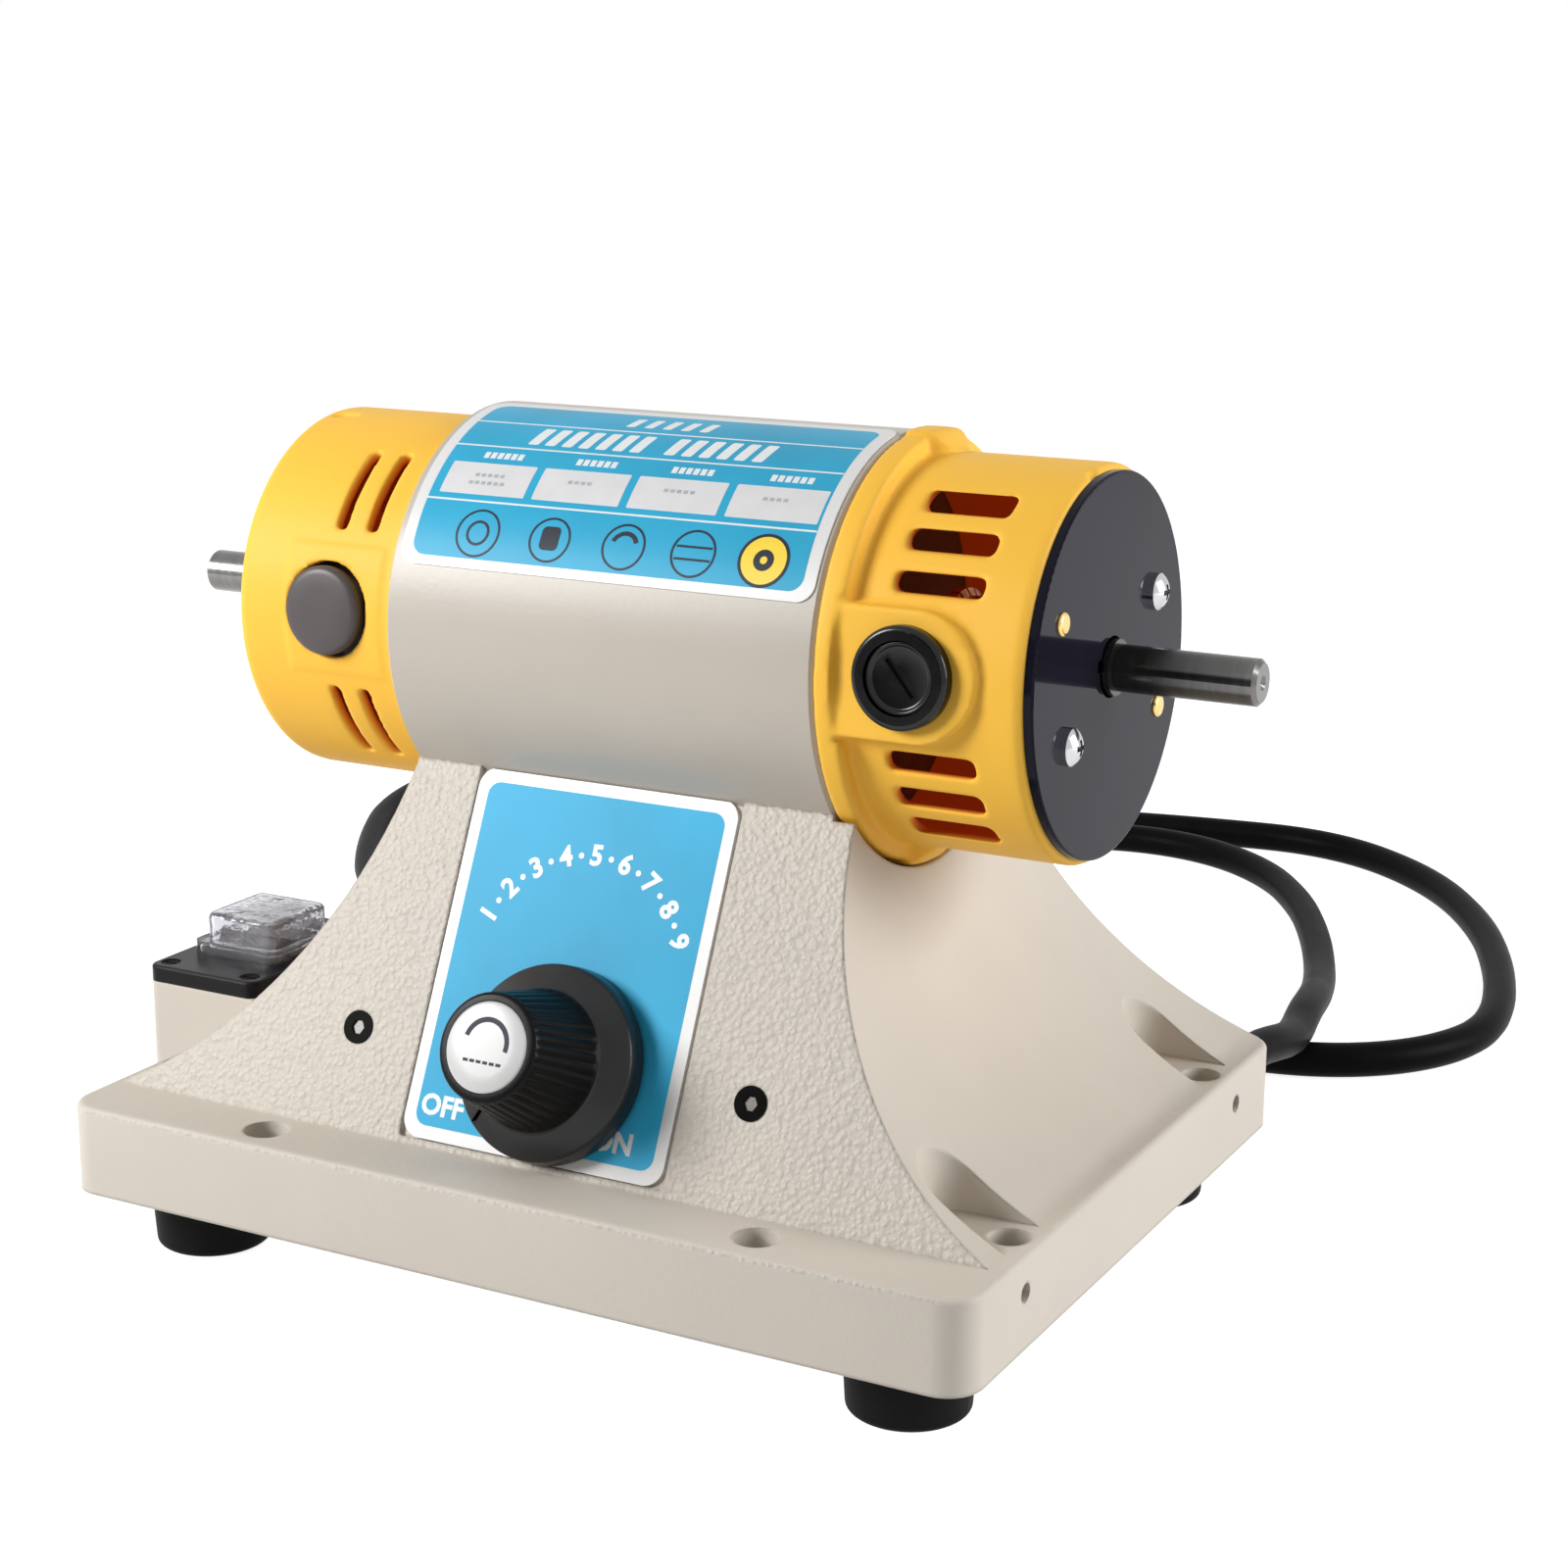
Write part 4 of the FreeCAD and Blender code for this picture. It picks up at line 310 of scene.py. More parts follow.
# ---------------------------------------------------------------- underside
# A zinc-plated steel sheet closes the hollow of the casting and is held by four small screws. Four
# tapered rubber feet are screwed under the corners of the plate.
zinc = surface("zinc_plate", (0.55, 0.56, 0.57), 0.34, metallic=1.0, mottle=0.12, patch=6.0, grain=0.01,
               grain_size=0.8, uneven=0.1)
rubber = surface("foot_rubber", (0.006, 0.006, 0.006), 0.6, mottle=0.25, patch=12.0, grain=0.04,
                 grain_size=0.7, specular=0.07)
dress(zinc, "base_cover", "base_cover_screws", "foot_screws")
dress(rubber, "rubber_feet")

# ---------------------------------------------------------------- mains switch
# A cast box, coated like the base, is screwed to the left side of the plate. Its black moulded
# lid carries a rocker switch under a clear soft cover that keeps the dust out.
lid_black = surface("lid_black", (0.007, 0.006, 0.007), 0.3, mottle=0.1, patch=8.0, grain=0.03,
                    grain_size=0.35, specular=0.13)
round_edges(lid_black, 0.9)
rocker_red = surface("rocker_red", (0.02, 0.009, 0.01), 0.35, mottle=0.08, patch=6.0, grain=0.01,
                     specular=0.3)
clear_vinyl = surface("clear_vinyl", (0.80, 0.80, 0.84), 0.1, mottle=0.05, patch=4.0, grain=1.0,
                      grain_size=6.0, uneven=0.06)
feed(clear_vinyl.node_tree, clear_vinyl.node_tree.nodes["Principled BSDF"], {
    "Transmission Weight": 0.94, "IOR": 1.42})
dress(coat, "switch_box")
dress(zinc, "switch_box_screws")
dress(lid_black, "switch_lid", "rocker_housing")
dress(black_steel, "lid_screws")
dress(rocker_red, "rocker")
dress(clear_vinyl, "switch_boot")

# ---------------------------------------------------------------- front panel
# An aluminium plate, enamelled white, lies in a recess of the slanted face. A blue film is printed
# on it inside a white border, with OFF, ON and the figures of the dial.
PANEL_RISE = 43.2                              # middle of the panel, up the face
field_lift, figure_lift = -0.2, -0.13          # out of the face
dial_middle = Vector((2.0, 42.6))
dial_radius, dial_start, dial_sweep = 26.0, 158.0, 134.0
figure_size, word_rise = 4.5, 9.2
type_size, type_weight = 1.38, 0.05            # of the type, to the height of its capitals
INK = 0.03                                     # thickness of the print


def settle(piece, matrix):
    """Put a piece in its place and leave its object at the origin."""
    only(piece)
    piece.matrix_world = matrix @ piece.matrix_world
    bpy.ops.object.transform_apply(location=True, rotation=True, scale=True)


def closed():
    """Turn all faces of the piece in edit mode outwards, and leave edit mode."""
    bpy.ops.mesh.select_all(action="SELECT")
    bpy.ops.mesh.normals_make_consistent(inside=False)
    bpy.ops.object.mode_set(mode="OBJECT")
    return bpy.context.object


def patch(width, height, corner, across, rise, thickness=INK):
    """Thin rounded rectangle of film, flat in X and Y, in millimetres."""
    bpy.ops.object.select_all(action="DESELECT")
    bpy.ops.mesh.primitive_plane_add(size=1.0, location=(across * MM, rise * MM, 0.0))
    piece = bpy.context.object
    piece.scale = (width * MM, height * MM, 1.0)
    bpy.ops.object.transform_apply(location=True, rotation=True, scale=True)
    opened(piece)
    if corner:
        bpy.ops.mesh.bevel(offset=corner * MM, segments=8, affect="VERTICES")
        bpy.ops.mesh.select_all(action="SELECT")
    bpy.ops.mesh.extrude_region_move(TRANSFORM_OT_translate={"value": (0.0, 0.0, thickness * MM)})
    return closed()


def joined(pieces):
    """Several pieces made one."""
    only(pieces[0])
    for piece in pieces[1:]:
        piece.select_set(True)
    bpy.ops.object.join()
    return pieces[0]


def lettering(words, size, across, rise, turn=0.0):
    """Printed figures or words, middle at a place of the flat print, in millimetres."""
    bpy.ops.object.select_all(action="DESELECT")
    bpy.ops.object.text_add()
    text = bpy.context.object.data
    text.body = words
    text.size = size * type_size * MM
    text.align_x = "CENTER"
    text.align_y = "CENTER"
    text.offset = type_weight * size * MM
    text.extrude = INK / 2 * MM
    text.resolution_u = 3
    bpy.ops.object.convert(target="MESH")
    piece = bpy.context.object
    settle(piece, Matrix.Translation((across * MM, rise * MM, 0.0)) @ Matrix.Rotation(turn, 4, "Z"))
    return piece


enamel = surface("white_enamel", (0.74, 0.74, 0.735), 0.32, mottle=0.02, patch=30.0, grain=0.01,
                 grain_size=1.5)
dress(enamel, "panel_plate")
panel_blue = surface("panel_blue", (0.04, 0.425, 0.70), 0.34, mottle=0.16, patch=55.0, grain=0.01,
                     grain_size=1.0, specular=0.1)
field = patch(60.2, 77.0, 3.0, 0.0, 0.0, 0.05)
settle(field, on_face(PANEL_ACROSS, PANEL_RISE, field_lift))
finished(field, "panel_print", panel_blue, "machine")

white_ink = surface("white_ink", (0.78, 0.81, 0.81), 0.4, mottle=0.03, patch=4.0, grain=0.01,
                    grain_size=0.4)
words = [lettering("OFF", figure_size, -23.0, word_rise), lettering("ON", figure_size, 20.3, word_rise)]
for mark in range(17):
    around = math.radians(dial_start - dial_sweep / 16 * mark)
    spot = dial_middle + dial_radius * Vector((math.cos(around), math.sin(around)))
    if mark % 2:
        words.append(patch(1.3, 1.3, 0.6, spot.x, spot.y))
    else:
        words.append(lettering(str(mark // 2 + 1), figure_size, spot.x, spot.y, around - math.pi / 2))
print_on_panel = joined(words)
settle(print_on_panel, on_face(0.0, 0.0, figure_lift))
finished(print_on_panel, "panel_figures", white_ink, "machine")

# ---------------------------------------------------------------- speed knob
# A black moulded knob with a wide skirt and a ribbed grip is pressed on the spindle of the speed
# control. A groove in the skirt is the pointer, and a white disc closes the top.
KNOB_ACROSS = 3.2
RIBS = 36
rib_depth = 0.035                              # share of the radius
pointer_turn = math.radians(228.0)
pointer_width = 0.9
skirt_height = 9.0
cap_top = 29.64                                # where the mark is printed


def rings(sides, first, steps):
    """Round solid built up from a disc: each step is a radius and a height, in millimetres."""
    radius, height = first
    bpy.ops.object.select_all(action="DESELECT")
    bpy.ops.mesh.primitive_circle_add(vertices=sides, radius=radius * MM, fill_type="NGON",
                                      location=(0.0, 0.0, height * MM))
    bpy.ops.object.transform_apply(location=True, rotation=True, scale=True)
    opened(bpy.context.object)
    for next_radius, next_height in steps:
        bpy.ops.mesh.extrude_region_move(
            TRANSFORM_OT_translate={"value": (0.0, 0.0, (next_height - height) * MM)})
        share = next_radius / radius
        bpy.ops.transform.resize(value=(share, share, 1.0), center_override=(0.0, 0.0, 0.0))
        radius, height = next_radius, next_height
    return closed()


def applied(piece, kind, **settings):
    """Change a piece by one modifier."""
    only(piece)
    modifier = piece.modifiers.new("change", kind)
    for name, setting in settings.items():
        setattr(modifier, name, setting)
    bpy.ops.object.modifier_apply(modifier="change")


black_moulding = surface("black_moulding", (0.003, 0.003, 0.0032), 0.33, mottle=0.15, patch=7.0,
                         grain=0.02, grain_size=0.35, specular=0.1)
# The skirt takes a lighter black than the grip, standing for the sheen on it: a painted sheen.
skirt_sheen_black = surface("skirt_sheen_black", (0.012, 0.0125, 0.014), 0.3, mottle=0.15, patch=7.0, grain=0.02,
                      grain_size=0.35, specular=0.3)
knob = rings(RIBS * 6, (21.3, 0.8), [
    (21.5, 1.1), (21.2, 5.4), (21.0, 5.8), (20.6, 6.2), (16.0, 8.7), (15.3, 9.2), (15.0, 10.0),
    (14.8, 11.0), (12.0, 26.6), (11.85, 27.4), (11.6, 28.4), (11.3, 28.85), (10.8, 29.0),
    (9.75, 29.0), (9.65, 28.9), (9.6, 28.3)])
for corner in knob.data.vertices:
    if 10.9 * MM < corner.co.z < 27.5 * MM and math.hypot(corner.co.x, corner.co.y) > 11.8 * MM:
        turn = math.atan2(corner.co.y, corner.co.x) * RIBS / (2 * math.pi)
        wave = abs((turn % 1.0) - 0.5) * 2.0
        share = 1.0 - rib_depth * max(0.0, 1.0 - wave * 1.6)
        corner.co.x *= share
        corner.co.y *= share
pointer = patch(8.0, pointer_width, 0.0, 20.0, 0.0, 6.0)
settle(pointer, Matrix.Rotation(pointer_turn, 4, "Z") @ Matrix.Translation((0.0, 0.0, 5.7 * MM)))
applied(knob, "BOOLEAN", object=pointer)
bpy.data.objects.remove(pointer)
pointer_way = Vector((math.cos(pointer_turn), math.sin(pointer_turn), 0.0))
pointer_side = Vector((math.sin(pointer_turn), -math.cos(pointer_turn), 0.0))
# The skirt faces get the lighter black, a painted sheen; the groove of the pointer keeps the grip's darker
# black, a painted shade.
skirt = []
for side in knob.data.polygons:
    in_groove = side.center @ pointer_way > 0.0 and abs(side.center @ pointer_side) < 0.55 * MM
    if side.center.z < skirt_height * MM and not in_groove:
        skirt.append(side.index)
settle(knob, on_face(KNOB_ACROSS, SPINDLE_RISE))
finished(knob, "speed_knob_ribbed", black_moulding, "speed_control", 40.0)
knob.data.materials.append(skirt_sheen_black)
for index in skirt:
    knob.data.polygons[index].material_index = 1
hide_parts("speed_knob")

cap_white = surface("cap_white", (0.60, 0.60, 0.595), 0.3, mottle=0.02, patch=6.0, grain=0.01)
cap = rings(64, (9.55, 28.3), [(9.55, 29.1), (9.35, 29.35), (9.0, 29.5), (6.0, 29.62), (2.0, 29.66)])
settle(cap, on_face(KNOB_ACROSS, SPINDLE_RISE))
finished(cap, "knob_cap_domed", cap_white, "speed_control", 40.0)
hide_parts("knob_cap")


def band(radius, width, start, sweep, across=0.0, rise=0.0):
    """Flat ring, or a part of one, in millimetres and degrees: a strip bent round."""
    bpy.ops.object.select_all(action="DESELECT")
    bpy.ops.mesh.primitive_grid_add(x_subdivisions=48, y_subdivisions=1, size=1.0)
    piece = bpy.context.object
    for corner in piece.data.vertices:
        turn = math.radians(start + sweep * (corner.co.x + 0.5))
        reach = (radius + width * corner.co.y) * MM
        corner.co = (across * MM + reach * math.cos(turn), rise * MM + reach * math.sin(turn), 0.0)
    opened(piece)
    bpy.ops.mesh.remove_doubles(threshold=0.00001)
    bpy.ops.mesh.extrude_region_move(TRANSFORM_OT_translate={"value": (0.0, 0.0, INK * MM)})
    return closed()


dark_ink = surface("dark_ink", (0.012, 0.016, 0.03), 0.45, mottle=0.1, patch=3.0, grain=0.01,
                   grain_size=0.4, specular=0.2)
marks = [band(5.0, 1.1, -12.0, 180.0, 0.0, 0.7)]
for stroke in range(6):
    marks.append(patch(1.2, 0.65, 0.0, -4.0 + 1.6 * stroke, -3.2))
turn_mark = joined(marks)
settle(turn_mark, on_face(KNOB_ACROSS, SPINDLE_RISE, cap_top))
finished(turn_mark, "knob_mark", dark_ink, "speed_control")

# ---------------------------------------------------------------- motor tube
# A drawn steel tube in smooth warm grey paint holds the field of the motor. It lies in the cradle
# of the pedestal, and bolts from inside the pedestal hold it there.
tube_paint = surface("tube_paint", (0.52, 0.472, 0.409), 0.36, mottle=0.035, patch=40.0, grain=0.03,
                     grain_size=1.4, specular=0.4)
dress(tube_paint, "motor_tube")
dress(zinc, "saddle_bolts")

# ---------------------------------------------------------------- data plate
# A thin aluminium plate, enamelled white, is wrapped on the upper front of the tube. It is printed
# with a blue field, ruled lines and boxes, bars and dots in place of words, and plain round signs.
AXIS = Vector((0.0, 0.0, 142.8)) * MM + MIDDLE     # motor axis over the middle of the base
PRINT_RADIUS = 46.8
label_across, label_width = 3.5, 96.4
BOXES = 4
box_pitch = 23.87
field_sunk = 0.05                                  # foot of the blue field below the radius
first_ink, second_ink = 0.04, 0.07                 # lift of the inks over the foot of the field
bend_step = 1.5                                    # between the cuts that let the print bend
dress(enamel, "data_plate")


def wrapped(piece, lift):
    """Bend a flat print round the motor. Its Y is the way round, up from the horizontal front."""
    heights = [corner.co.y for corner in piece.data.vertices]
    opened(piece)
    line = math.ceil(min(heights) / MM)
    while line * MM < max(heights):
        bpy.ops.mesh.select_all(action="SELECT")
        bpy.ops.mesh.bisect(plane_co=(0.0, line * MM, 0.0), plane_no=(0.0, 1.0, 0.0))
        line += bend_step
    bpy.ops.object.mode_set(mode="OBJECT")
    for corner in piece.data.vertices:
        turn = corner.co.y / (PRINT_RADIUS * MM)
        reach = (PRINT_RADIUS - field_sunk + lift) * MM + corner.co.z
        corner.co = AXIS + Vector((corner.co.x, -reach * math.cos(turn), reach * math.sin(turn)))


def way_round(degrees):
    """Length along the print, in millimetres, for an angle above the horizontal front."""
    return math.radians(degrees) * PRINT_RADIUS


label_blue = surface("label_blue", (0.038, 0.39, 0.62), 0.34, mottle=0.14, patch=45.0, grain=0.01,
                     grain_size=1.0, specular=0.13)
low, high = way_round(22.6), way_round(82.2)
label_field = patch(label_width, high - low, 3.2, label_across, (low + high) / 2, 0.04)
wrapped(label_field, 0.0)
finished(label_field, "label_print", label_blue, "machine")

title_row = way_round(64.2)
rules = [patch(label_width, 0.45, 0.0, label_across, way_round(degrees)) for degrees in (39.0, 58.3, 70.0)]
bars = [patch(2.7, 6.4, 0.5, -25.0 + 4.3 * bar, title_row) for bar in range(14) if bar != 7]
bars += [patch(2.2, 4.6, 0.4, -8.0 + 4.6 * bar, way_round(75.6)) for bar in range(5)]
for corner in [corner for bar in bars for corner in bar.data.vertices]:
    corner.co.x += 0.22 * (corner.co.y - title_row * MM)
headings = []
for box in range(BOXES):
    for stroke in range(6):
        headings.append(patch(1.3, 1.9, 0.0, -35.0 + box_pitch * box + 1.75 * stroke, way_round(54.7)))
label_lines = joined(rules + bars + headings)
wrapped(label_lines, first_ink)
finished(label_lines, "label_lines", white_ink, "machine")

pale_grey = surface("pale_grey_ink", (0.70, 0.70, 0.71), 0.4, mottle=0.03, patch=5.0, grain=0.01,
                    specular=0.3)
label_boxes = joined([patch(21.8, way_round(10.6), 0.3, -31.4 + box_pitch * box, way_round(46.3))
                      for box in range(BOXES)])
wrapped(label_boxes, first_ink)
finished(label_boxes, "label_boxes", pale_grey, "machine")

grey_ink = surface("grey_ink", (0.42, 0.44, 0.46), 0.45, mottle=0.1, patch=2.0, grain=0.01,
                   specular=0.2)
dots = []
for box in range(BOXES):
    for dot in range(5 - box % 2):
        dots.append(patch(1.1, 0.9, 0.0, -34.5 + box_pitch * box + 1.6 * dot, way_round(47.4), 0.02))
for dot in range(6):
    dots.append(patch(1.1, 0.9, 0.0, -35.3 + 1.6 * dot, way_round(44.8), 0.02))
label_values = joined(dots)
wrapped(label_values, second_ink)
finished(label_values, "label_values", grey_ink, "machine")

# Places of the five signs along the row.
ring_sign, block_sign, arc_sign, bars_sign, disc_sign = -28.8, -10.4, 8.0, 24.9, 41.6
row = way_round(29.9)
yellow_ink = surface("yellow_ink", (0.92, 0.66, 0.05), 0.4, mottle=0.03, patch=4.0, grain=0.01,
                     specular=0.3)
yellow_disc = rings(48, (5.6, 0.0), [(5.6, INK)])
settle(yellow_disc, Matrix.Translation((disc_sign * MM, row * MM, 0.0)))
wrapped(yellow_disc, first_ink)
finished(yellow_disc, "label_disc", yellow_ink, "machine")


def circle(radius, width, across):
    """Printed circle in the row of signs."""
    return band(radius, width, 0.0, 360.0, across, row)


label_symbols = joined([
    circle(5.6, 0.7, disc_sign), circle(1.6, 1.5, disc_sign),
    circle(5.3, 0.5, ring_sign), circle(2.6, 0.6, ring_sign),
    circle(4.9, 0.5, block_sign), patch(4.6, 5.4, 1.2, block_sign, row + 0.3),
    circle(5.0, 0.5, arc_sign), band(3.0, 1.0, 20.0, 140.0, arc_sign, row),
    circle(5.1, 0.5, bars_sign), patch(8.6, 0.5, 0.0, bars_sign, row + 1.4),
    patch(8.6, 0.5, 0.0, bars_sign, row - 1.4)])
wrapped(label_symbols, second_ink)
finished(label_symbols, "label_symbols", dark_ink, "machine")

# ---------------------------------------------------------------- end caps
# Both caps are moulded in yellow plastic, with cooling vents and a seat for a bearing. They are
# pushed into the ends of the tube, and countersunk screws at the rear pin them there.
BRUSH_TILT = 4.0                               # of brushes and lock button above the horizontal
wall_inside, wall_outside = 39.8, 42.1         # radii
voxel = 0.65


def even_skin(piece):
    """Lay an even net of small faces over a solid, so that its edges can be softened."""
    applied(piece, "REMESH", mode="VOXEL", voxel_size=voxel * MM)


def moulded(piece, rounds):
    """Round all edges and corners of a moulding a little, as the mould leaves them."""
    applied(piece, "SMOOTH", factor=0.5, iterations=rounds)
    applied(piece, "DECIMATE", ratio=0.6)


def moved_out(spot, x, reach, new_reach):
    """Point on the same side of the motor axis as another, at a new distance from the axis."""
    return AXIS + Vector((x, spot.y / reach * new_reach, spot.z / reach * new_reach)) * MM


yellow = surface("cap_yellow", (1.0, 0.56, 0.065), 0.5, mottle=0.02, patch=25.0, grain=0.02,
                 grain_size=0.5, specular=0.2)
# The vents and the inner walls of the caps are painted a deep red shade and given a faint glow:
# painted shade and a painted glow, not in the face of the left cap or the rim of the right one.
tree = yellow.node_tree
place = tree.nodes["Texture Coordinate"].outputs["Object"]
from_axis = add(tree, "Mapping", {
    "Vector": place, "Scale": (0.0, 1.0, 1.0), "Location": (0.0, -AXIS.y, -AXIS.z)})
distance = add(tree, "VectorMath", {0: from_axis.outputs["Vector"]}, operation="LENGTH")
inside = add(tree, "MapRange", {
    "Value": distance.outputs["Value"], "From Min": wall_inside * MM, "From Max": wall_outside * MM,
    "To Min": 1.0, "To Max": 0.0})
along = add(tree, "SeparateXYZ", {"Vector": place}).outputs["X"]
behind_face = add(tree, "MapRange", {"Value": along, "From Min": -80.0 * MM, "From Max": -78.0 * MM})
before_rim = add(tree, "MapRange", {
    "Value": along, "From Min": 98.0 * MM, "From Max": 101.0 * MM, "To Min": 1.0, "To Max": 0.0})
painted_shade_amount = times(tree, inside.outputs["Result"], times(tree, behind_face.outputs["Result"],
                                                     before_rim.outputs["Result"]))
painted_vent_shade = add(tree, "Mix", {
    "Factor": painted_shade_amount, "A": tree.nodes["Color Ramp"].outputs["Color"], "B": (0.75, 0.11, 0.012, 1.0)},
    data_type="RGBA")
painted_vent_glow = add(tree, "Mix", {"Factor": painted_shade_amount, "A": (0.0, 0.0, 0.0, 1.0), "B": (1.0, 0.1, 0.006, 1.0)},
              data_type="RGBA")
feed(tree, tree.nodes["Principled BSDF"], {
    "Base Color": painted_vent_shade.outputs["Result"], "Emission Color": painted_vent_glow.outputs["Result"],
    "Emission Strength": 0.08})

# The left cap is a little longer than its solid, with a closer rounding round its face.
solid_round, solid_round_x, solid_round_reach = 6.0, -86.4, 36.45
new_round, new_round_x, new_round_reach = 2.6, -91.7, 39.85
left_cap = likeness("left_end_cap")
for corner in left_cap.data.vertices:
    spot = (corner.co - AXIS) / MM
    reach = math.hypot(spot.y, spot.z)
    if spot.x < -86.3 and reach > 36.4:
        turn = math.atan2(reach - solid_round_reach, solid_round_x - spot.x)
        if abs(math.hypot(reach - solid_round_reach, solid_round_x - spot.x) - solid_round) < 0.2:
            corner.co = moved_out(spot, new_round_x - new_round * math.cos(turn), reach,
                                  new_round_reach + new_round * math.sin(turn))
    elif spot.x < -92.3:
        corner.co.x = AXIS.x - 94.3 * MM
even_skin(left_cap)
moulded(left_cap, 4)
finished(left_cap, "left_cap_moulded", yellow, "machine", 60.0)
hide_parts("left_end_cap")

# The lugs of the right cap run out in a slope behind the flange.
flange_end, slope_length = 61.2, 6.0
cap_radius = 42.4
right_cap = likeness("right_end_cap")
even_skin(right_cap)
for corner in right_cap.data.vertices:
    spot = (corner.co - AXIS) / MM
    reach = math.hypot(spot.y, spot.z)
    from_brush = abs(math.degrees(math.atan2(spot.z, -spot.y)) - BRUSH_TILT)
    if spot.x > flange_end and reach > 42.45 and 60.0 < from_brush % 180.0 < 120.0:
        down = min(1.0, (spot.x - flange_end) / slope_length)
        share = 1.0 - 0.92 * down * down * (3.0 - 2.0 * down)
        corner.co = moved_out(spot, spot.x, reach, cap_radius + (reach - cap_radius) * share)
moulded(right_cap, 6)
finished(right_cap, "right_cap_moulded", yellow, "machine", 60.0)
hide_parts("right_end_cap")
dress(black_steel, "cap_screws")

# ---------------------------------------------------------------- brush gear
# Black moulded holders in the right cap keep two carbon brushes on the commutator, and springs
# press on them. A slotted cap is screwed into each holder, so that its brush can be changed.
BRUSH_ALONG = 75.5
gloss_moulding = surface("gloss_moulding", (0.004, 0.004, 0.0045), 0.18, mottle=0.15, patch=5.0,
                         grain=0.01, grain_size=0.5, specular=0.32)
carbon = surface("carbon", (0.04, 0.04, 0.043), 0.5, mottle=0.2, patch=2.0, grain=0.02, grain_size=0.2)
dress(gloss_moulding, "brush_holders")
dress(carbon, "carbon_brushes")
dress(black_steel, "brush_springs")


def on_motor(along, degrees):
    """Place on the motor axis, looking out of it at an angle above the horizontal front."""
    spot = AXIS + Vector((along * MM, 0.0, 0.0))
    return Matrix.Translation(spot) @ Matrix.Rotation(math.pi / 2 - math.radians(degrees), 4, "X")


brush_cap = rings(72, (7.2, 42.0), [
    (7.4, 42.2), (7.55, 46.1), (7.5, 46.4), (7.3, 46.58), (7.0, 46.6), (6.75, 46.5), (6.5, 46.1),
    (6.35, 45.95), (6.0, 45.9), (2.0, 45.9)])
driver_slot = patch(9.6, 1.1, 0.0, 0.0, 0.0, 2.0)
settle(driver_slot,
       Matrix.Rotation(math.radians(-50.0), 4, "Z") @ Matrix.Translation((0.0, 0.0, 45.1 * MM)))
applied(brush_cap, "BOOLEAN", object=driver_slot)
bpy.data.objects.remove(driver_slot)
rear_cap = brush_cap.copy()
rear_cap.data = brush_cap.data.copy()
scene.collection.objects.link(rear_cap)
settle(brush_cap, on_motor(BRUSH_ALONG, BRUSH_TILT))
settle(rear_cap, on_motor(BRUSH_ALONG, BRUSH_TILT + 180.0))
brush_caps = joined([brush_cap, rear_cap])
finished(brush_caps, "brush_caps_slotted", gloss_moulding, "machine", 40.0)
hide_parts("brush_caps")

# ---------------------------------------------------------------- end disc
# A disc of polished black plastic closes the right cap and holds the bearing in. Two chromed
# pan-head screws fasten it, beside the ends of two brass pins.
disc_black = surface("disc_black", (0.008, 0.0075, 0.016), 0.07, mottle=0.1, patch=20.0, grain=0.002,
                     grain_size=2.0, uneven=0.03, specular=0.07)
chrome = surface("screw_chrome", (0.55, 0.55, 0.57), 0.16, metallic=1.0, mottle=0.05, patch=3.0,
                 grain=0.004, grain_size=0.5)
brass = surface("brass", (0.78, 0.56, 0.2), 0.22, metallic=1.0, mottle=0.08, patch=2.0, grain=0.005)
dress(disc_black, "end_disc")
dress(chrome, "disc_screws", "plug_pins")
dress(brass, "disc_pins")

# ---------------------------------------------------------------- spindle lock
# A brown-black moulded button on the left cap pushes a pin into the collar of the shaft. It
# slides in a guide inside the cap, and a spring sends it back.
LOCK_ALONG = -69.0
button_brown = surface("button_brown", (0.055, 0.043, 0.044), 0.42, mottle=0.06, patch=8.0, grain=0.015)
dress(button_brown, "lock_guide")
dress(black_steel, "lock_spring")
button = rings(72, (2.5, 13.8), [
    (2.5, 41.55), (9.6, 41.55), (9.95, 41.7), (10.0, 42.2), (10.0, 43.5), (9.9, 43.9), (9.6, 44.35),
    (9.0, 44.65), (8.2, 44.8), (5.0, 44.92), (2.0, 44.95)])
settle(button, on_motor(LOCK_ALONG, BRUSH_TILT))
finished(button, "lock_button_domed", button_brown, "lock", 50.0)
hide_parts("lock_button")

# ---------------------------------------------------------------- shaft and windings
# The shaft is ground steel, painted darker along its bare right part than at its end and further in:
# painted shade. The armature, its copper windings, the commutator, the fan and the bearings are pressed
# on it, inside the coils of the stator.
ground = surface("ground_steel", (0.62, 0.61, 0.60), 0.22, metallic=1.0, mottle=0.12, patch=5.0,
                 grain=0.001, grain_size=0.5, stretch=(4.0, 0.6, 0.6), uneven=0.04)
tree = ground.node_tree
along = add(tree, "SeparateXYZ", {"Vector": tree.nodes["Texture Coordinate"].outputs["Object"]})
# From the end of the shaft, at 0, to 60 mm along X, at 1.
inwards = add(tree, "MapRange", {
    "Value": along.outputs["X"], "From Min": 60.0 * MM, "From Max": 150.0 * MM, "To Min": 1.0,
    "To Max": 0.0})
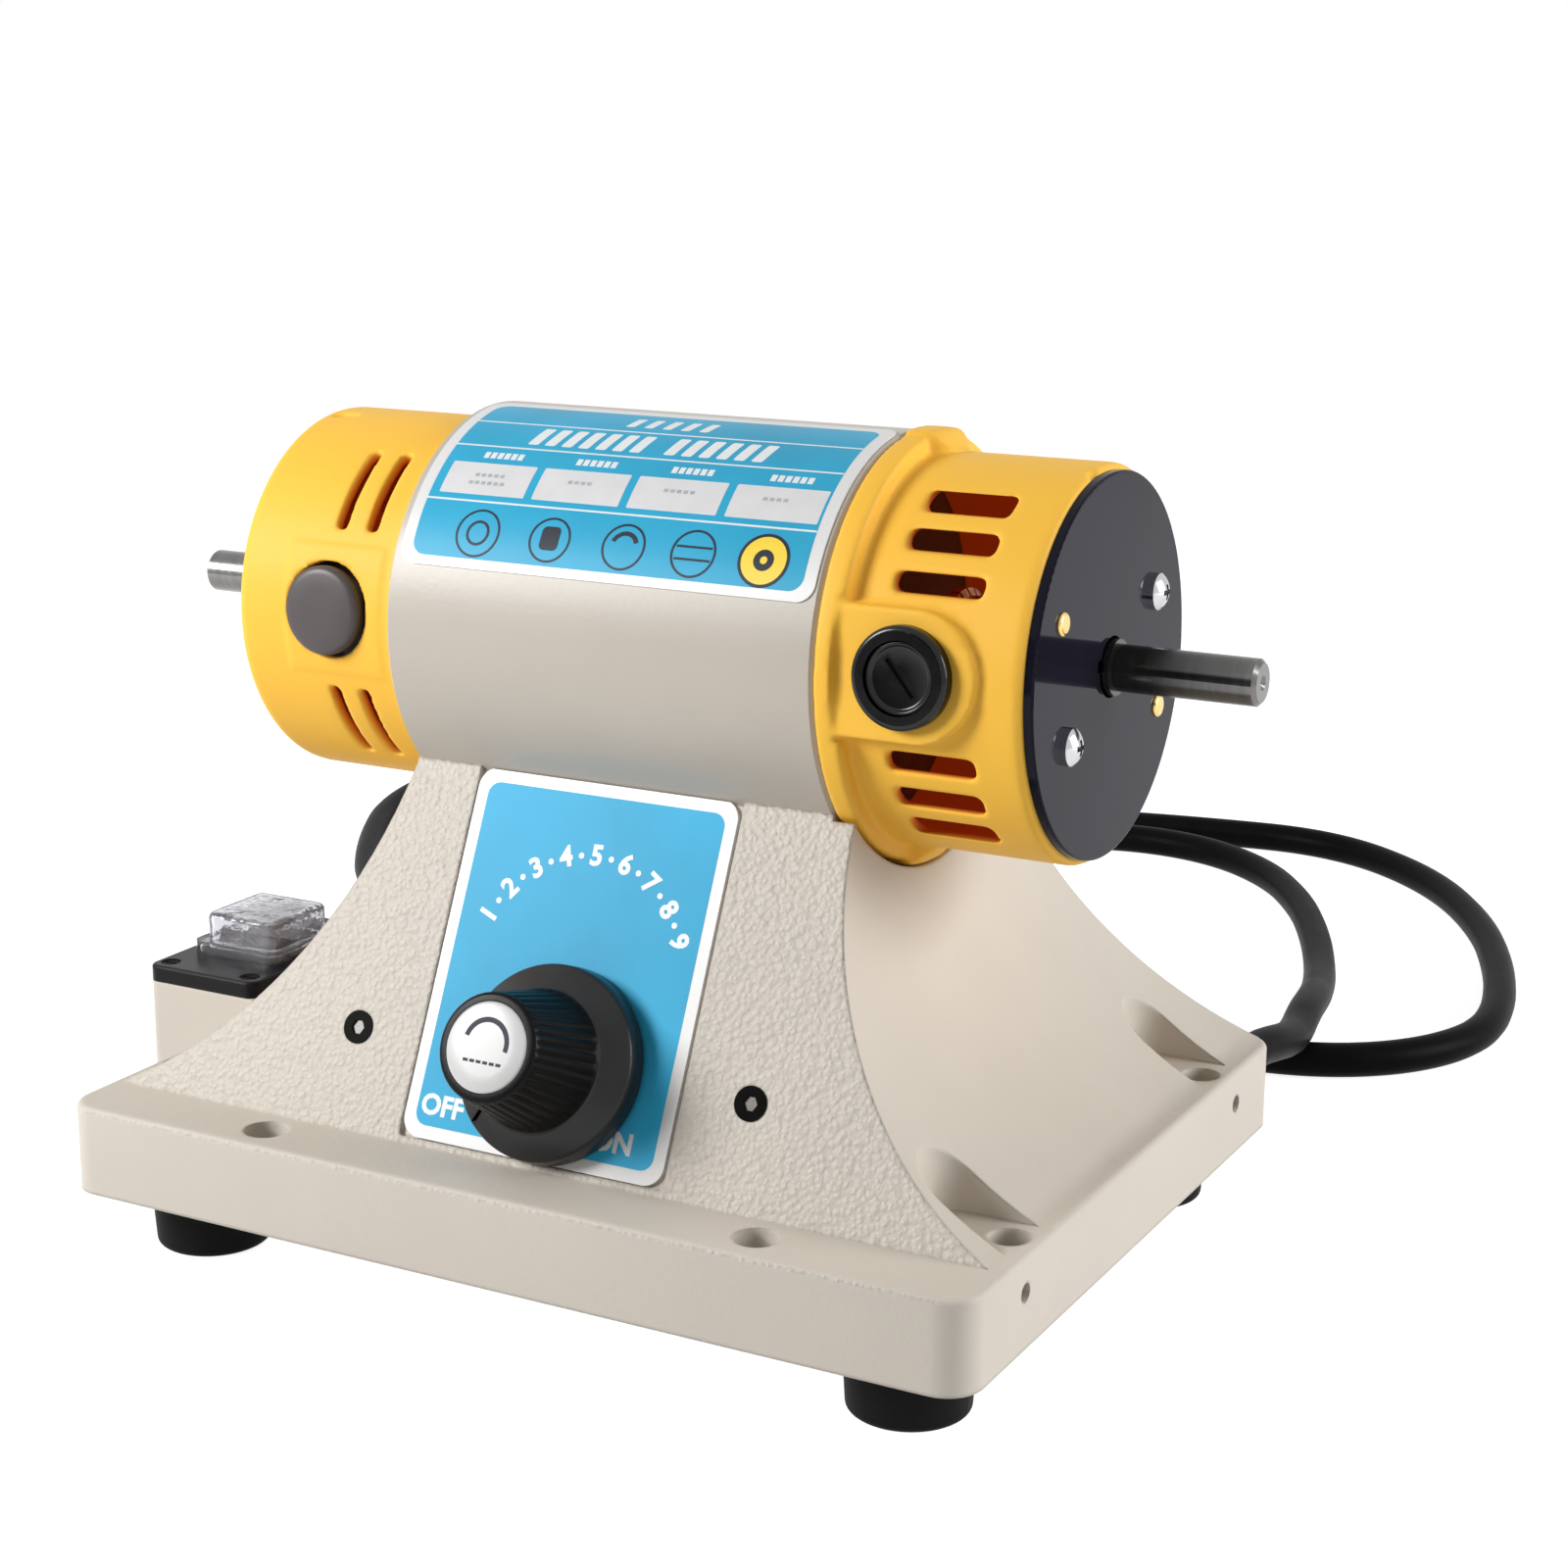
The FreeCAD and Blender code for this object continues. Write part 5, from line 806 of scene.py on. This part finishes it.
# Darker along the middle of the bare shaft: painted shade.
painted_shade_ramp = add(tree, "ValToRGB", {"Fac": inwards.outputs["Result"]})
end_point, inner_point = painted_shade_ramp.color_ramp.elements
end_point.color = (0.27, 0.27, 0.27, 1.0)
inner_point.color = (0.3, 0.3, 0.3, 1.0)
for spot, value in ((0.11, 0.27), (0.13, 0.2), (0.3, 0.11), (0.5, 0.1)):
    painted_shade_ramp.color_ramp.elements.new(spot).color = (value, value, value, 1.0)
shaded_steel_color = add(tree, "VectorMath", {
    0: tree.nodes["Color Ramp"].outputs["Color"], 1: painted_shade_ramp.outputs["Color"]}, operation="MULTIPLY")
feed(tree, tree.nodes["Principled BSDF"], {"Base Color": shaded_steel_color.outputs["Vector"]})
sheets = surface("core_sheets", (0.2, 0.2, 0.21), 0.45, metallic=0.8, mottle=0.3, patch=0.6, grain=0.05,
                 grain_size=0.5, stretch=(1.0, 0.05, 0.05))
copper = surface("copper_wire", (0.6, 0.22, 0.07), 0.3, metallic=0.9, mottle=0.25, patch=1.0, grain=0.1,
                 grain_size=0.6)
varnish = surface("varnished_sleeve", (0.5, 0.4, 0.25), 0.5, mottle=0.15, patch=2.0, grain=0.06,
                  grain_size=0.7)
dress(ground, "spindle_shaft", "lock_collar", "bearing_outer_rings", "bearing_inner_rings",
      "bearing_balls")
dress(sheets, "stator_core", "armature_core")
dress(copper, "field_coils", "armature_windings", "commutator")
dress(varnish, "winding_sleeve")
dress(black_moulding, "cooling_fan")

# ---------------------------------------------------------------- speed control board
# A green circuit board stands on spacers over the bottom sheet, with a capacitor, a triac on an
# extruded heat sink and a row of terminals. The knob's potentiometer is held by its nut.
board_green = surface("board_green", (0.015, 0.16, 0.06), 0.35, mottle=0.2, patch=3.0, grain=0.01)
can_blue = surface("can_blue", (0.03, 0.05, 0.22), 0.3, mottle=0.1, patch=5.0, grain=0.01)
extruded = surface("extruded_aluminium", (0.74, 0.75, 0.76), 0.35, metallic=1.0, mottle=0.06, patch=3.0,
                   grain=0.02, grain_size=0.3)
dress(board_green, "speed_board")
dress(can_blue, "board_capacitor")
dress(extruded, "heat_sink")
dress(black_moulding, "terminal_block", "pot_body", "board_standoffs")
dress(zinc, "board_screws", "pot_nut", "pot_spindle", "triac")

# ---------------------------------------------------------------- floor and light
# A pale floor under an even sky, white for the camera, mirrors and glass. A softbox at the left
# front is the main light, one at the right rear lights the flank, and a dark card in front of the
# machine is seen by mirrors only.
TARGET = Vector((0.0, 0.0, 0.08))


def looks_white(tree):
    """1 for rays of the camera and those from mirrors and glass, otherwise 0."""
    rays = add(tree, "LightPath", {})
    value = rays.outputs["Is Camera Ray"]
    for kind in ("Is Glossy Ray", "Is Transmission Ray"):
        value = add(tree, "Math", {0: value, 1: rays.outputs[kind]}, operation="MAXIMUM").outputs["Value"]
    return value


bpy.ops.object.select_all(action="DESELECT")
bpy.ops.mesh.primitive_plane_add(size=60.0)
floor = bpy.context.object
floor.name = "floor"
pale = bpy.data.materials.new("pale_floor")
pale.use_nodes = True
tree = pale.node_tree
tree.nodes.remove(tree.nodes["Principled BSDF"])
matt = add(tree, "BsdfDiffuse", {"Color": (0.62, 0.62, 0.62, 1.0)})
glow = add(tree, "Emission", {"Strength": times(tree, looks_white(tree), 0.88)})
both = add(tree, "AddShader", {0: matt.outputs["BSDF"], 1: glow.outputs["Emission"]})
feed(tree, tree.nodes["Material Output"], {"Surface": both.outputs["Shader"]})
floor.data.materials.append(pale)

world = bpy.data.worlds.new("white_sky")
world.use_nodes = True
scene.world = world
tree = world.node_tree
brightness = add(tree, "MapRange", {"Value": looks_white(tree), "To Min": 0.2, "To Max": 1.0})
feed(tree, tree.nodes["Background"], {
    "Color": (1.0, 1.0, 1.0, 1.0), "Strength": brightness.outputs["Result"]})


def softbox(name, place, size, power):
    """Large square lamp that faces the machine."""
    lamp = bpy.data.objects.new(name, bpy.data.lights.new(name, "AREA"))
    scene.collection.objects.link(lamp)
    lamp.data.size = size
    lamp.data.energy = power
    lamp.location = place
    lamp.rotation_euler = (TARGET - Vector(place)).to_track_quat("-Z", "Y").to_euler()


softbox("left_softbox", (-0.56, -0.62, 0.51), size=0.34, power=8.35)
softbox("right_softbox", (1.5, 0.45, 0.6), size=0.9, power=22.5)

bpy.ops.object.select_all(action="DESELECT")
bpy.ops.mesh.primitive_plane_add(size=1.0, location=(-0.19, -0.95, 0.28), rotation=(math.pi / 2, 0.0, 0.0))
card = bpy.context.object
card.name = "dark_card"
card.scale = (0.5, 0.55, 1.0)
card.visible_camera = False
card.visible_diffuse = False
card.visible_transmission = False
card.visible_shadow = False
dark = bpy.data.materials.new("dark_card")
dark.use_nodes = True
feed(dark.node_tree, dark.node_tree.nodes["Principled BSDF"], {
    "Base Color": (0.01, 0.01, 0.01, 1.0), "Roughness": 1.0})
card.data.materials.append(dark)
